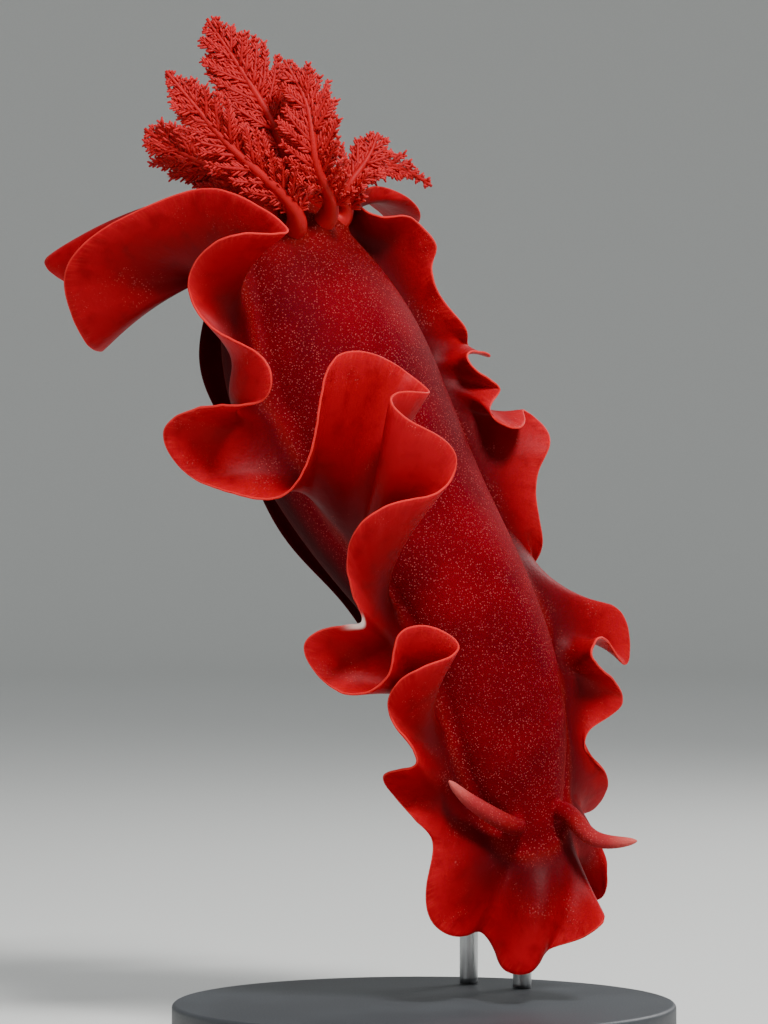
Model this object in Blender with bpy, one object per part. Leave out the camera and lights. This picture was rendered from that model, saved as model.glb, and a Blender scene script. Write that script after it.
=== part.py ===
# A spanish dancer, the large red sea slug, swimming head down with its mantle thrown into
# deep ruffles, held over a flat round base by two bent rods.
# Drawing frame in millimetres: across (picture right), up, toward (to the viewer).
# World frame in metres: +X picture right, +Z up, the viewer on the -Y side.

import math
import random

import bmesh
import bpy
import numpy as np

for old in list(bpy.data.objects):
    bpy.data.objects.remove(old, do_unlink=True)

SEAM_GAP = 0.3          # clearance between neighbouring pieces
STAND_ACROSS = 28.0     # middle of the stand in the drawing frame
SIGHT_ACROSS = 14.67    # the line of sight the ruffles were drawn along
SIGHT_UP = 175.33
SIGHT_REACH = 1500.0    # from the eye to the middle of the body

BASE_RADIUS = 84.0
BASE_THICK = 12.0
BASE_CHAMFER = 1.5
BASE_SIDES = 48
ROD_RADIUS = 3.2
ROD_PAD_RADIUS = 7.5
ROD_SIDES = 10
ROD_RINGS = 15

TRUNK_SIDES = 32        # points round each ring of the trunk
TRUNK_STEP = 9.0        # spacing of the rings
TRUNK_CUTS = (88.0, 158.0, 219.0)   # stations where the trunk is parted

MANTLE_ROOT_THICK = 1.8
MANTLE_EDGE_THICK = 0.8
MANTLE_ROWS = 6         # rows from root to free edge
MANTLE_COLUMN_MM = 15.5     # a column for this length of edge ...
MANTLE_COLUMN_TURN = 34.0   # ... or for this much bending of the edge
MANTLE_BEND = 0.5       # how far the sheet runs outward before it follows its fold
MANTLE_SLACK = 6.0      # how far along the sheet its inner rows even out the folds
MANTLE_LEAN_SPAN = 6.0     # turn over which the sheet's outward lean is evened out
MANTLE_FINE = 6000      # samples along the free edge

FOOT_FIRST = 8.0
FOOT_LAST = 232.0
FOOT_THICK = 3.0
FOOT_HALF_ANGLE = 34.0  # how far round the belly the sole reaches
FOOT_MARGIN = 4.0       # how far its free margins stand off
FOOT_WAVE = 1.6
FOOT_FAN = 12.0         # the wide part of its right margin below the rear lobe
FOOT_FAN_AT = 46.0
FOOT_FAN_LONG = 22.0

GILL_SIDES = 7
GILL_FOOT = 2.7         # radius of a gill's stem at its foot, less the tip's
GILL_TIP = 0.5
GILL_FIRST = 0.27       # share of the stem that is bare
GILL_SPACING = 6.0      # between one pair of side filaments and the next
GILL_FILAMENT = 1.0     # radius of a side filament at its root
GILL_SEED = 21

# The trunk from tail to head: centre (across, up, toward), half width, height of the back,
# depth of the belly, and the roll of the back toward the picture's right in degrees.
TRUNK_ROWS = (
    (-24.5, 289.0, -15.0, 3.0, 2.5, 3.0, 40.0),
    (-22.0, 279.5, -9.5, 12.5, 8.0, 11.0, 40.0),
    (-16.0, 262.0, -4.0, 24.0, 15.5, 23.0, 40.0),
    (-6.5, 236.0, 0.0, 34.0, 23.0, 36.0, 40.0),
    (5.5, 206.0, 2.5, 36.0, 25.0, 38.0, 40.0),
    (21.0, 176.0, 4.0, 32.5, 22.5, 34.0, 39.0),
    (38.5, 146.0, 4.0, 28.0, 20.5, 28.0, 37.0),
    (50.5, 116.0, 2.0, 25.5, 18.5, 24.0, 34.0),
    (56.0, 92.5, -1.0, 21.5, 15.5, 19.5, 30.0),
    (60.0, 75.0, -4.0, 16.0, 11.5, 14.5, 26.0),
    (63.5, 64.0, -6.0, 11.5, 8.5, 10.0, 24.0),
    (66.0, 56.5, -7.5, 4.5, 3.5, 4.0, 22.0),
)

# The mantle's free edge, one row per crest, hollow or bend of a fold:
# turn round the body (0 tail, 90 right flank, 180 head, 270 left flank), across, up, toward.
RIGHT_REAR_FOLDS = (        # the long lobe swept over the tail and its hairpin
    (0.0, -20.0, 294.0, -8.0),
    (6.0, -30.0, 287.0, -8.0),
    (10.0, -44.0, 279.0, -14.0),
    (15.0, -66.0, 268.0, -24.0),
    (22.0, -98.3, 257.7, -24.0),
    (27.0, -84.0, 247.0, -20.0),
    (31.5, -76.0, 236.0, -10.0),
    (35.0, -81.0, 229.0, 4.0),
    (37.5, -90.7, 244.3, 18.0),
    (39.5, -91.3, 256.7, 26.0),
    (41.5, -81.7, 268.0, 32.0),
    (44.0, -66.7, 276.3, 38.0),
    (46.5, -48.0, 283.0, 46.0),
    (48.5, -31.7, 280.0, 56.0),
    (50.5, -17.7, 268.7, 66.0),
    (52.0, -31.7, 268.3, 70.0),
    (53.5, -45.0, 262.7, 66.0),
    (55.5, -50.7, 251.0, 60.0),
    (58.0, -45.7, 239.7, 60.0),
    (60.5, -33.3, 231.7, 66.0),
    (63.0, -23.3, 223.0, 72.0),
)
RIGHT_MIDDLE_FOLDS = (      # the open cup and the tall double fold over the flank
    (65.0, -23.3, 215.3, 70.0),
    (67.0, -35.0, 211.0, 62.0),
    (69.0, -50.0, 209.3, 50.0),
    (71.0, -59.0, 201.7, 42.0),
    (74.0, -54.0, 190.7, 42.0),
    (77.0, -38.3, 182.3, 50.0),
    (79.5, -18.3, 181.3, 60.0),
    (81.5, -11.3, 191.0, 64.0),
    (83.5, -6.7, 211.0, 68.0),
    (85.5, -1.7, 226.7, 66.0),
    (87.5, 10.7, 228.3, 56.0),
    (89.5, 23.0, 221.5, 47.0),
    (91.5, 29.7, 215.7, 53.0),
    (93.0, 23.5, 215.7, 62.0),
    (94.5, 17.0, 213.0, 70.0),
    (96.0, 21.5, 207.3, 74.0),
    (97.0, 31.0, 202.0, 70.0),
    (98.5, 39.0, 192.7, 64.0),
    (100.0, 35.0, 183.7, 66.0),
    (101.5, 20.0, 179.0, 72.0),
    (103.0, 7.3, 172.0, 72.0),
    (105.0, 2.3, 159.3, 64.0),
    (107.0, 5.7, 144.3, 56.0),
    (109.0, 7.0, 138.7, 48.0),
)
RIGHT_FRONT_FOLDS = (       # two small cups behind the head
    (111.0, -2.7, 137.0, 40.0),
    (113.0, -12.0, 131.0, 34.0),
    (115.5, -6.0, 119.3, 38.0),
    (118.0, 6.7, 114.7, 46.0),
    (120.5, 16.7, 122.7, 52.0),
    (122.5, 19.7, 134.7, 54.0),
    (124.5, 30.0, 137.3, 52.0),
    (127.0, 39.7, 130.3, 50.0),
    (129.0, 30.0, 124.7, 54.0),
    (131.0, 19.3, 118.7, 52.0),
    (133.0, 16.0, 109.3, 46.0),
    (135.5, 20.5, 101.5, 44.5),
    (137.5, 24.6, 96.0, 43.0),
    (139.3, 25.4, 91.8, 41.0),
    (141.2, 20.5, 89.6, 37.0),
    (144.0, 14.3, 87.3, 31.0),
    (148.0, 20.0, 78.3, 26.0),
    (151.0, 26.7, 71.0, 24.0),
)
VEIL_FOLDS = (              # the broad lobes in front of the head
    (154.0, 30.3, 66.7, 21.0),
    (158.0, 29.0, 52.7, 20.0),
    (162.0, 31.3, 37.7, 19.0),
    (166.0, 40.0, 33.7, 14.0),
    (170.0, 47.7, 34.7, 4.0),
    (173.0, 52.0, 27.7, 7.0),
    (177.0, 55.7, 22.0, 13.0),
    (181.0, 63.3, 21.7, 14.0),
    (183.5, 68.3, 28.3, 9.0),
    (186.0, 78.3, 32.3, 10.0),
    (188.5, 88.0, 39.0, 12.0),
    (190.0, 85.5, 42.5, 3.0),
    (191.5, 80.7, 46.3, -7.0),
    (194.5, 75.3, 54.5, -17.0),
    (197.5, 79.0, 48.0, -28.0),
    (200.5, 85.7, 46.0, -27.0),
    (203.5, 89.0, 56.0, -20.0),
    (206.5, 86.7, 63.3, -20.0),
    (210.0, 77.3, 73.3, -24.0),
)
LEFT_FRONT_FOLDS = (        # the far side's flaring leaf and the loop beside the head
    (213.5, 83.3, 75.7, -30.0),
    (216.5, 88.8, 82.5, -28.0),
    (219.5, 89.0, 87.5, -23.0),
    (222.5, 86.0, 91.5, -18.0),
    (226.0, 82.0, 96.0, -15.0),
    (229.0, 82.5, 101.3, -14.0),
    (231.3, 87.3, 105.5, -17.0),
    (234.0, 94.0, 111.3, -22.0),
    (237.0, 91.3, 119.3, -14.0),
    (239.0, 84.0, 129.3, -2.0),
    (241.0, 85.7, 132.7, -6.0),
    (243.0, 91.0, 130.0, -18.0),
    (245.5, 95.7, 124.7, -28.0),
    (248.6, 96.3, 135.3, -30.0),
    (251.4, 90.7, 144.0, -27.0),
    (254.6, 81.7, 143.3, -29.0),
    (256.8, 73.7, 146.3, -34.0),
    (259.0, 66.5, 149.0, -40.0),
)
LEFT_MIDDLE_FOLDS = (       # the long smooth leaf, then the little curled ring
    (261.2, 64.0, 155.5, -38.0),
    (262.8, 67.0, 162.0, -32.0),
    (268.5, 66.0, 176.0, -26.0),
    (274.0, 66.7, 190.0, -26.0),
    (278.0, 70.0, 197.5, -28.0),
    (281.5, 67.5, 204.5, -33.0),
    (284.0, 62.0, 209.0, -31.0),
    (285.7, 61.8, 205.8, -20.0),
    (287.2, 58.0, 203.2, -12.0),
    (288.9, 53.0, 205.2, -11.0),
    (290.4, 50.3, 210.5, -17.0),
    (291.5, 53.5, 216.3, -25.0),
    (293.0, 48.7, 220.3, -19.0),
    (294.6, 42.8, 226.0, -15.0),
    (296.0, 45.0, 229.0, -22.0),
    (297.5, 50.0, 227.3, -31.0),
    (299.5, 43.5, 230.0, -35.0),
    (301.5, 42.5, 235.3, -28.0),
    (304.6, 36.3, 243.7, -24.0),
)
LEFT_REAR_FOLDS = (         # shallow waves and the funnel beside the gills
    (310.0, 31.0, 254.3, -20.0),
    (312.5, 31.0, 258.5, -21.0),
    (315.5, 32.3, 263.0, -20.0),
    (319.5, 28.0, 270.0, -17.0),
    (322.5, 22.7, 274.0, -12.0),
    (326.0, 14.3, 273.7, -6.0),
    (330.0, 6.7, 277.7, -11.0),
    (332.5, 8.7, 283.0, -19.0),
    (334.5, 17.7, 282.7, -29.0),
    (337.0, 26.7, 275.3, -39.0),
    (340.5, 23.0, 270.0, -50.0),
    (344.5, 10.0, 278.0, -50.0),
    (348.5, -1.0, 287.0, -40.0),
    (353.0, -10.0, 292.0, -24.0),
    (360.0, -20.0, 294.0, -8.0),
)
MANTLE_FOLDS = (RIGHT_REAR_FOLDS + RIGHT_MIDDLE_FOLDS + RIGHT_FRONT_FOLDS + VEIL_FOLDS
                + LEFT_FRONT_FOLDS + LEFT_MIDDLE_FOLDS + LEFT_REAR_FOLDS)

# Where the sheet sags or swells between its root and its edge: the turn in the middle of the
# sag, how many turns it reaches, and how far the sheet's bend moves (across, up, toward).
MANTLE_SAGS = (
    (33.0, 7.0, (0.0, -16.0, -4.0)),        # the rear lobe's underside
    (34.4, 2.4, (0.0, 0.0, 4.0)),           # its pleat and hollow
    (39.6, 2.4, (0.0, 0.0, -4.0)),
    (64.0, 3.4, (-18.0, -3.0, 0.0)),        # the dome between the hairpin and the cup
    (158.0, 4.0, (0.0, 0.0, 7.0)),          # the head veil's two swells and the valleys by them
    (167.5, 3.5, (0.0, 0.0, -8.0)),
    (178.0, 4.5, (0.0, 0.0, 7.0)),
    (187.5, 3.0, (0.0, 0.0, -5.0)),
)

# Where one length of mantle ends and the next begins, as turns round the body.
MANTLE_LENGTHS = (
    ("mantle_right_rear", 0.0, 64.0),
    ("mantle_right_middle", 64.0, 106.0),
    ("mantle_right_front", 106.0, 152.5),
    ("mantle_veil", 152.5, 215.5),
    ("mantle_left_front", 215.5, 266.0),
    ("mantle_left_middle", 266.0, 307.0),
    ("mantle_left_rear", 307.0, 360.0),
)

ROOT_FIRST = 11.0       # station of the mantle's root over the tail
ROOT_LAST = 247.0       # and over the head
ROOT_ANGLE_RIGHT = 76.0     # how far down the right flank the root lies
ROOT_ANGLE_LEFT = 90.0      # and down the left one
ROOT_ROUNDING = 3.0     # how squarely the root line rounds the two ends

# A gill: foot on the back (station, angle), then the stem's bends and its tip as seen from the
# front (across, up, toward), and the half width of its plume.
GILL_ROWS = (
    ("gill_1", 22.0, -42.0, ((-39.0, 288.0, 12.0), (-55.5, 296.5, 8.0), (-65.0, 303.0, 2.0)), 7.5),
    ("gill_2", 28.5, -20.0, ((-34.0, 294.5, 28.0), (-47.0, 309.0, 30.0), (-58.0, 322.3, 28.0)), 7.5),
    ("gill_3", 20.0, -12.0, ((-18.5, 296.0, 10.0), (-30.0, 318.0, 4.0), (-44.3, 339.7, -4.0)), 10.0),
    ("gill_4", 27.0, 12.0, ((-7.5, 290.0, 22.0), (-10.5, 309.0, 22.0), (-18.7, 326.0, 18.0)), 8.0),
    ("gill_5", 25.0, 45.0, ((2.0, 281.0, -2.0), (8.5, 292.0, -4.0), (12.7, 301.7, -8.0)), 6.0),
    ("gill_6", 18.0, 27.0, ((3.0, 287.0, -15.0), (17.0, 291.0, -30.0), (30.5, 284.0, -40.0)), 4.5),
)


def spline(knots, values, closed=False):
    """A smooth curve through values at the given knots."""
    k = np.asarray(knots, float)
    v = np.asarray(values, float)
    n = len(k)
    h = np.diff(k)
    lhs = np.zeros((n, n))
    rhs = np.zeros(v.shape)
    for i in range(n - 1):
        if i == 0 and not closed:
            lhs[0, 0], lhs[0, 1] = 2.0, 1.0
            rhs[0] = 3.0 * (v[1] - v[0]) / h[0]
            continue
        before = i - 1 if i > 0 else n - 2
        gap = h[i - 1] if i > 0 else h[-1]
        lhs[i, before] += 1.0 / gap
        lhs[i, i] += 2.0 * (1.0 / gap + 1.0 / h[i])
        lhs[i, i + 1] += 1.0 / h[i]
        rhs[i] = 3.0 * ((v[i] - v[before]) / gap ** 2 + (v[i + 1] - v[i]) / h[i] ** 2)
    if closed:
        lhs[n - 1, n - 1], lhs[n - 1, 0] = 1.0, -1.0
    else:
        lhs[-1, -1], lhs[-1, -2] = 2.0, 1.0
        rhs[-1] = 3.0 * (v[-1] - v[-2]) / h[-1]
    slope = np.linalg.solve(lhs, rhs)

    def at(x):
        x = np.asarray(x, float)
        i = np.clip(np.searchsorted(k, x, side="right") - 1, 0, n - 2)
        d = h[i]
        s = (x - k[i]) / d
        if v.ndim > 1:
            s = s[..., None]
            d = d[..., None]
        return (v[i] * (1 + 2 * s) * (1 - s) ** 2 + slope[i] * d * s * (1 - s) ** 2
                + v[i + 1] * s * s * (3 - 2 * s) + slope[i + 1] * d * s * s * (s - 1))
    return at


def rising(knots, values):
    """A curve through rising values that never turns back."""
    k = np.asarray(knots, float)
    v = np.asarray(values, float)
    h = np.diff(k)
    d = np.diff(v) / h
    slope = np.concatenate([[d[0]], 2.0 / (1.0 / d[1:] + 1.0 / d[:-1]), [d[-1]]])

    def at(x):
        x = np.asarray(x, float)
        i = np.clip(np.searchsorted(k, x, side="right") - 1, 0, len(k) - 2)
        s = (x - k[i]) / h[i]
        return (v[i] * (1 + 2 * s) * (1 - s) ** 2 + slope[i] * h[i] * s * (1 - s) ** 2
                + v[i + 1] * s * s * (3 - 2 * s) + slope[i + 1] * h[i] * s * s * (s - 1))
    return at


def chord(points):
    """Running length along a row of points."""
    steps = np.linalg.norm(np.diff(points, axis=0), axis=1)
    return np.concatenate([[0.0], np.cumsum(steps)])


def unit(v):
    return v / np.linalg.norm(v, axis=-1, keepdims=True)


def seen(points):
    """Points given as they look from the front, drawn in so that near ones keep that look."""
    p = np.array(points, float)
    near = 1.0 - p[..., 2:3] / SIGHT_REACH
    middle = np.array([SIGHT_ACROSS, SIGHT_UP])
    p[..., :2] = middle + (p[..., :2] - middle) * near
    return p


def world(points):
    """Drawing millimetres to world metres."""
    p = np.asarray(points, float)
    return np.stack([p[..., 0] - STAND_ACROSS, -p[..., 2], p[..., 1]], -1) / 1000.0


trunk_rows = np.array(TRUNK_ROWS)
trunk_knots = chord(trunk_rows[:, :3])
trunk_at = spline(trunk_knots, trunk_rows)
TRUNK_LENGTH = trunk_knots[-1]


def section(station):
    """Sizes, side axis and back axis of the trunk's ring at a station."""
    row = trunk_at(station)
    ahead = unit(trunk_at(station + 0.5)[..., :3] - trunk_at(station - 0.5)[..., :3])
    side = unit(np.cross(np.array([0.0, 0.0, 1.0]), ahead))
    back = unit(np.cross(ahead, side))
    roll = np.radians(row[..., 6])[..., None]
    turned_side = side * np.cos(roll) - back * np.sin(roll)
    turned_back = back * np.cos(roll) + side * np.sin(roll)
    return row, turned_side, turned_back


def skin(station, angle, lift=0.0):
    """A point on the trunk, the angle in degrees from the middle of the back."""
    station = np.asarray(station, float)
    row, side, back = section(station)
    t = np.radians(np.asarray(angle, float))
    across = (row[..., 3] + lift) * np.sin(t)
    height = np.where(np.cos(t) > 0, row[..., 4], row[..., 5]) + lift
    return row[..., :3] + side * across[..., None] + back * (height * np.cos(t))[..., None]


def skin_axes(station, angle):
    """Directions along and round the trunk at a point of its skin, and the outward normal."""
    along = (skin(station + 0.5, angle) - skin(station - 0.5, angle))
    round_it = (skin(station, angle + 0.5) - skin(station, angle - 0.5))
    normal = unit(np.cross(round_it, along))
    outward = skin(station, angle, 1.0) - skin(station, angle)
    flip = np.sign(np.sum(normal * outward, axis=-1, keepdims=True))
    return along, round_it, normal * flip


def beside(station, angle, offset, lift):
    """The skin point reached by stepping an offset in the skin from a station and angle."""
    along, round_it, _ = skin_axes(station, angle)
    aa = np.sum(along * along, -1)
    bb = np.sum(round_it * round_it, -1)
    ab = np.sum(along * round_it, -1)
    ax = np.sum(along * offset, -1)
    bx = np.sum(round_it * offset, -1)
    det = aa * bb - ab * ab
    return skin(station + (ax * bb - bx * ab) / det, angle + (bx * aa - ax * ab) / det, lift)


def material(name, colour, rough, metal=0.0):
    m = bpy.data.materials.new(name)
    m.use_nodes = True
    shader = m.node_tree.nodes["Principled BSDF"]
    shader.inputs["Base Color"].default_value = (colour[0], colour[1], colour[2], 1.0)
    shader.inputs["Roughness"].default_value = rough
    shader.inputs["Metallic"].default_value = metal
    m.diffuse_color = (colour[0], colour[1], colour[2], 1.0)
    return m


def add_solid(name, points, faces, colour, rough, metal=0.0):
    """A closed solid from drawing points, its faces turned outward."""
    mesh = bpy.data.meshes.new(name)
    mesh.from_pydata(world(points).tolist(), [], [tuple(int(i) for i in f) for f in faces])
    bm = bmesh.new()
    bm.from_mesh(mesh)
    bmesh.ops.recalc_face_normals(bm, faces=bm.faces)
    bm.to_mesh(mesh)
    bm.free()
    mesh.materials.append(material(name + "_finish", colour, rough, metal))
    solid = bpy.data.objects.new(name, mesh)
    bpy.context.scene.collection.objects.link(solid)
    return solid


def tube(rings, first_tip=None, last_tip=None):
    """Points and triangles of a closed tube through rings of equal count.

    An end without a tip is closed by a fan round the ring's own middle."""
    rings = [np.asarray(r, float) for r in rings]
    count = len(rings[0])
    points = [p for ring in rings for p in ring]
    faces = []
    for r in range(len(rings) - 1):
        for k in range(count):
            a = r * count + k
            b = r * count + (k + 1) % count
            faces += [(a, b, b + count), (a, b + count, a + count)]
    start = first_tip if first_tip is not None else rings[0].mean(axis=0)
    end = last_tip if last_tip is not None else rings[-1].mean(axis=0)
    points += [start, end]
    last = (len(rings) - 1) * count
    for k in range(count):
        faces.append((len(points) - 2, (k + 1) % count, k))
        faces.append((len(points) - 1, last + k, last + (k + 1) % count))
    return np.array(points), faces


def trunk_length(name, first, last, colour, rough):
    """One length of the trunk, cut square at both ends."""
    count = max(2, int(math.ceil((last - first) / TRUNK_STEP)) + 1)
    angles = np.arange(TRUNK_SIDES) * 360.0 / TRUNK_SIDES
    rings = [skin(np.full(TRUNK_SIDES, s), angles) for s in np.linspace(first, last, count)]
    middle_first = trunk_at(first)[:3]
    middle_last = trunk_at(last)[:3]
    points, faces = tube(rings, middle_first, middle_last)
    return add_solid(name, points, faces, colour, rough)


def root_line(turn):
    """Station and angle of the mantle's root at a turn round the body."""
    t = np.radians(turn)
    middle = (ROOT_FIRST + ROOT_LAST) / 2.0
    half = (ROOT_LAST - ROOT_FIRST) / 2.0
    station = middle - half * np.cos(t)
    share = np.tanh(ROOT_ROUNDING * np.sin(t)) / math.tanh(ROOT_ROUNDING)
    down = (ROOT_ANGLE_RIGHT + ROOT_ANGLE_LEFT) / 2.0 + (ROOT_ANGLE_RIGHT - ROOT_ANGLE_LEFT) / 2.0 * share
    return station, -down * share


def mantle_ribs(column_mm, column_turn, rows):
    """The whole mantle's middle surface: ribs from root to edge, and the ribs' turns.

    The ribs stand closer where the free edge bends, and one falls on each parting."""
    folds = np.array(MANTLE_FOLDS)
    marks = seen(folds[:, 1:])
    knots = chord(marks)
    fine = np.linspace(0.0, knots[-1], MANTLE_FINE + 1)
    line = spline(knots, marks, closed=True)(fine)
    turn = rising(knots, folds[:, 0])(fine)
    station, angle = root_line(turn)
    roots = skin(station, angle, SEAM_GAP)

    reach = unit(line - skin(station, angle))
    step = np.linalg.norm(np.roll(line, -1, 0) - line, axis=1)
    lean = np.zeros((361, 3))
    for degree in range(361):
        away = (turn - degree + 180.0) % 360.0 - 180.0
        weight = np.exp(-0.5 * (away / MANTLE_LEAN_SPAN) ** 2) * step
        lean[degree] = (reach * weight[:, None]).sum(axis=0)
    lean = np.stack([np.interp(turn, np.arange(361), lean[:, k]) for k in range(3)], -1)
    _, _, outward = skin_axes(station, angle)
    lean = unit(unit(lean) * 0.75 + outward * 0.6)
    width = np.linalg.norm(line - roots, axis=1)
    knee = roots + lean * (width * MANTLE_BEND)[:, None]
    for spot, span, shift in MANTLE_SAGS:
        away = (turn - spot + 180.0) % 360.0 - 180.0
        knee += np.exp(-(away / span) ** 2)[:, None] * np.array(shift)
    shares = np.linspace(0.0, 1.0, rows)
    v = shares[None, :, None]
    ribs = ((1 - v) ** 2 * roots[:, None] + 2 * (1 - v) * v * knee[:, None]
            + v ** 2 * line[:, None])
    for j, share in enumerate(shares):
        slack = MANTLE_SLACK * 4.0 * share * (1.0 - share) * MANTLE_FINE / knots[-1]
        if slack > 0.0:
            span = int(3.0 * slack) + 1
            bell = np.exp(-0.5 * (np.arange(-span, span + 1) / slack) ** 2)
            ring = np.concatenate([ribs[-span - 1:-1, j], ribs[:, j], ribs[1:span + 1, j]])
            for k in range(3):
                ribs[:, j, k] = np.convolve(ring[:, k], bell / bell.sum(), mode="valid")

    steps = np.diff(line, axis=0)
    length = np.linalg.norm(steps, axis=1)
    heading = steps / length[:, None]
    bend = np.degrees(np.arccos(np.clip((heading * np.roll(heading, -1, 0)).sum(1), -1.0, 1.0)))
    cost = np.concatenate([[0.0], np.cumsum(length / column_mm + bend / column_turn)])
    picks = []
    for _, first, last in MANTLE_LENGTHS:
        a, b = np.interp([first, last], turn, cost)
        share = np.linspace(a, b, int(round(b - a)) + 1)[:-1]
        picks.append(np.interp(share, cost, np.arange(MANTLE_FINE + 1)))
    picks = np.round(np.concatenate(picks)).astype(int)
    return ribs[picks], turn[picks], station[picks], angle[picks]


def mantle_faces(ribs, station, angle, root_thick, edge_thick):
    """The two faces of the mantle; at the root they stand side by side on the trunk's skin."""
    along = np.roll(ribs, -1, 0) - np.roll(ribs, 1, 0)
    out = np.gradient(ribs, axis=1)
    normal = unit(np.cross(along, out))
    v = np.linspace(0.0, 1.0, ribs.shape[1])[None, :, None]
    half = 0.5 * (edge_thick + (root_thick - edge_thick) * (1.0 - v) ** 2.2)
    upper = ribs + normal * half
    lower = ribs - normal * half
    _, _, outward = skin_axes(station, angle)
    sideways = unit(np.cross(outward, along[:, 0]))
    sideways *= np.sign(np.sum(sideways * normal[:, 0], -1, keepdims=True))
    upper[:, 0] = beside(station, angle, sideways * root_thick / 2, SEAM_GAP)
    lower[:, 0] = beside(station, angle, -sideways * root_thick / 2, SEAM_GAP)
    return upper, lower


def sheet_solid(name, upper, lower, colour, rough):
    """A closed sheet from two matching grids, triangulated alike on both faces."""
    columns, rows = upper.shape[:2]
    points = np.concatenate([upper.reshape(-1, 3), lower.reshape(-1, 3)])
    under = columns * rows
    faces = []
    for i in range(columns - 1):
        for j in range(rows - 1):
            a = i * rows + j
            b = a + rows
            faces += [(a, b, b + 1), (a, b + 1, a + 1)]
            faces += [(under + a, under + b + 1, under + b), (under + a, under + a + 1, under + b + 1)]
    rim = [i * rows for i in range(columns)]
    rim += [(columns - 1) * rows + j for j in range(1, rows)]
    rim += [i * rows + rows - 1 for i in range(columns - 2, -1, -1)]
    rim += [j for j in range(rows - 2, 0, -1)]
    for k, a in enumerate(rim):
        b = rim[(k + 1) % len(rim)]
        faces += [(a, under + a, under + b), (a, under + b, b)]
    return add_solid(name, points, faces, colour, rough)


def mantle_lengths(colour, rough):
    """The mantle, parted into lengths that meet rib to rib."""
    ribs, turns, station, angle = mantle_ribs(MANTLE_COLUMN_MM, MANTLE_COLUMN_TURN, MANTLE_ROWS)
    upper, lower = mantle_faces(ribs, station, angle, MANTLE_ROOT_THICK, MANTLE_EDGE_THICK)
    count = len(turns)
    for name, first, last in MANTLE_LENGTHS:
        a = int(np.argmin(np.abs(turns - first)))
        b = int(np.argmin(np.abs(turns - last))) if last < 360.0 else count
        picks = np.arange(a, b + 1) % count
        top = upper[picks].copy()
        low = lower[picks].copy()
        for grid in (top, low):
            grid[0] += unit(grid[1] - grid[0]) * SEAM_GAP / 2
            grid[-1] += unit(grid[-2] - grid[-1]) * SEAM_GAP / 2
        sheet_solid(name, top, low, colour, rough)


def foot_length(name, first, last, colour, rough):
    """A length of the creeping sole: a pad on the belly whose free margins stand off it."""
    under = []
    over = []
    share = np.linspace(-1.0, 1.0, 9)
    for s in np.linspace(first, last, max(3, int((last - first) / 9.0) + 1)):
        along = (s - FOOT_FIRST) / (FOOT_LAST - FOOT_FIRST)
        swell = math.sin(math.pi * min(max(along, 0.02), 0.98)) ** 0.6
        spread = FOOT_HALF_ANGLE * (0.6 + 0.4 * swell)
        wave = FOOT_WAVE * swell * math.sin(s / 8.0)
        fan = FOOT_FAN * math.exp(-((s - FOOT_FAN_AT) / FOOT_FAN_LONG) ** 2)
        left_lift = 1.5 + FOOT_MARGIN * swell - wave
        right_lift = 1.5 + FOOT_MARGIN * swell + wave + fan
        left = 180.0 - spread - 11.0
        right = 180.0 + spread + 11.0
        inner = skin(np.full(9, s), 180.0 + share * spread, SEAM_GAP)
        outer = skin(np.full(9, s), 180.0 + share * (spread + 2.0),
                     SEAM_GAP + FOOT_THICK * (1.0 - 0.35 * np.abs(share) ** 3))
        over.append(np.concatenate([[skin(s, left, left_lift)], inner, [skin(s, right, right_lift)]]))
        under.append(np.concatenate([[skin(s, left + 2.0, left_lift + 1.0)], outer,
                                     [skin(s, right - 2.0, right_lift + 1.0)]]))
    return sheet_solid(name, np.array(over), np.array(under), colour, rough)


def bent_path(base, normal, bends, rise):
    """A smooth path that leaves the skin squarely and then follows its bends."""
    marks = np.concatenate([[base, base + normal * rise], np.asarray(bends, float)])
    knots = chord(marks)
    return spline(knots, marks), knots[-1]


def stalk_rings(station, angle, bends, radius_at, sides, steps, rise=3.0, flat=None, plane=None):
    """Rings of a stalk standing on the skin; radius_at gives its radius from foot 0 to tip 1.

    With flat it is a blade: its thickness is that share of its width, across the plane."""
    _, _, normal = skin_axes(np.float64(station), np.float64(angle))
    base = skin(np.float64(station), np.float64(angle), SEAM_GAP)
    path, reach = bent_path(base, normal, bends, rise)
    shares = np.linspace(0.0, 1.0, steps + 1)
    turn = np.arange(sides) * 2.0 * math.pi / sides
    rings = []
    wide = None
    for share in shares:
        here = path(share * reach)
        heading = unit(path(min(share + 0.01, 1.0) * reach) - path(max(share - 0.01, 0.0) * reach))
        if share == 0.0:
            heading = normal
        if plane is not None:
            wide = unit(np.cross(np.asarray(plane, float), heading))
        elif wide is None:
            wide = unit(np.cross(heading, np.array([0.3, 0.2, 1.0])))
        else:
            wide = unit(wide - heading * np.dot(wide, heading))
        thick = unit(np.cross(heading, wide))
        r = radius_at(share)
        thin = r if flat is None else max(r * flat(share), 0.35)
        ring = wide * (np.cos(turn) * r)[:, None] + thick * (np.sin(turn) * thin)[:, None]
        if share == 0.0:
            ring = beside(np.full(sides, float(station)), np.full(sides, float(angle)), ring, SEAM_GAP)
        else:
            ring = here + ring
        rings.append(ring)
    return rings, base, path, reach


def tapered(path, radii, sides):
    """A tapering filament along a few points, its last point the tip."""
    path = np.asarray(path, float)
    turn = np.arange(sides) * 2.0 * math.pi / sides
    wide = unit(np.cross(path[1] - path[0], np.array([0.31, 0.87, 0.38])))
    rings = []
    for i, radius in enumerate(radii):
        heading = unit(path[i + 1] - path[max(i - 1, 0)])
        wide = unit(wide - heading * np.dot(wide, heading))
        thick = np.cross(heading, wide)
        rings.append(path[i] + wide * (np.cos(turn) * radius)[:, None]
                     + thick * (np.sin(turn) * radius)[:, None])
    return tube(rings, last_tip=path[-1])


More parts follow.
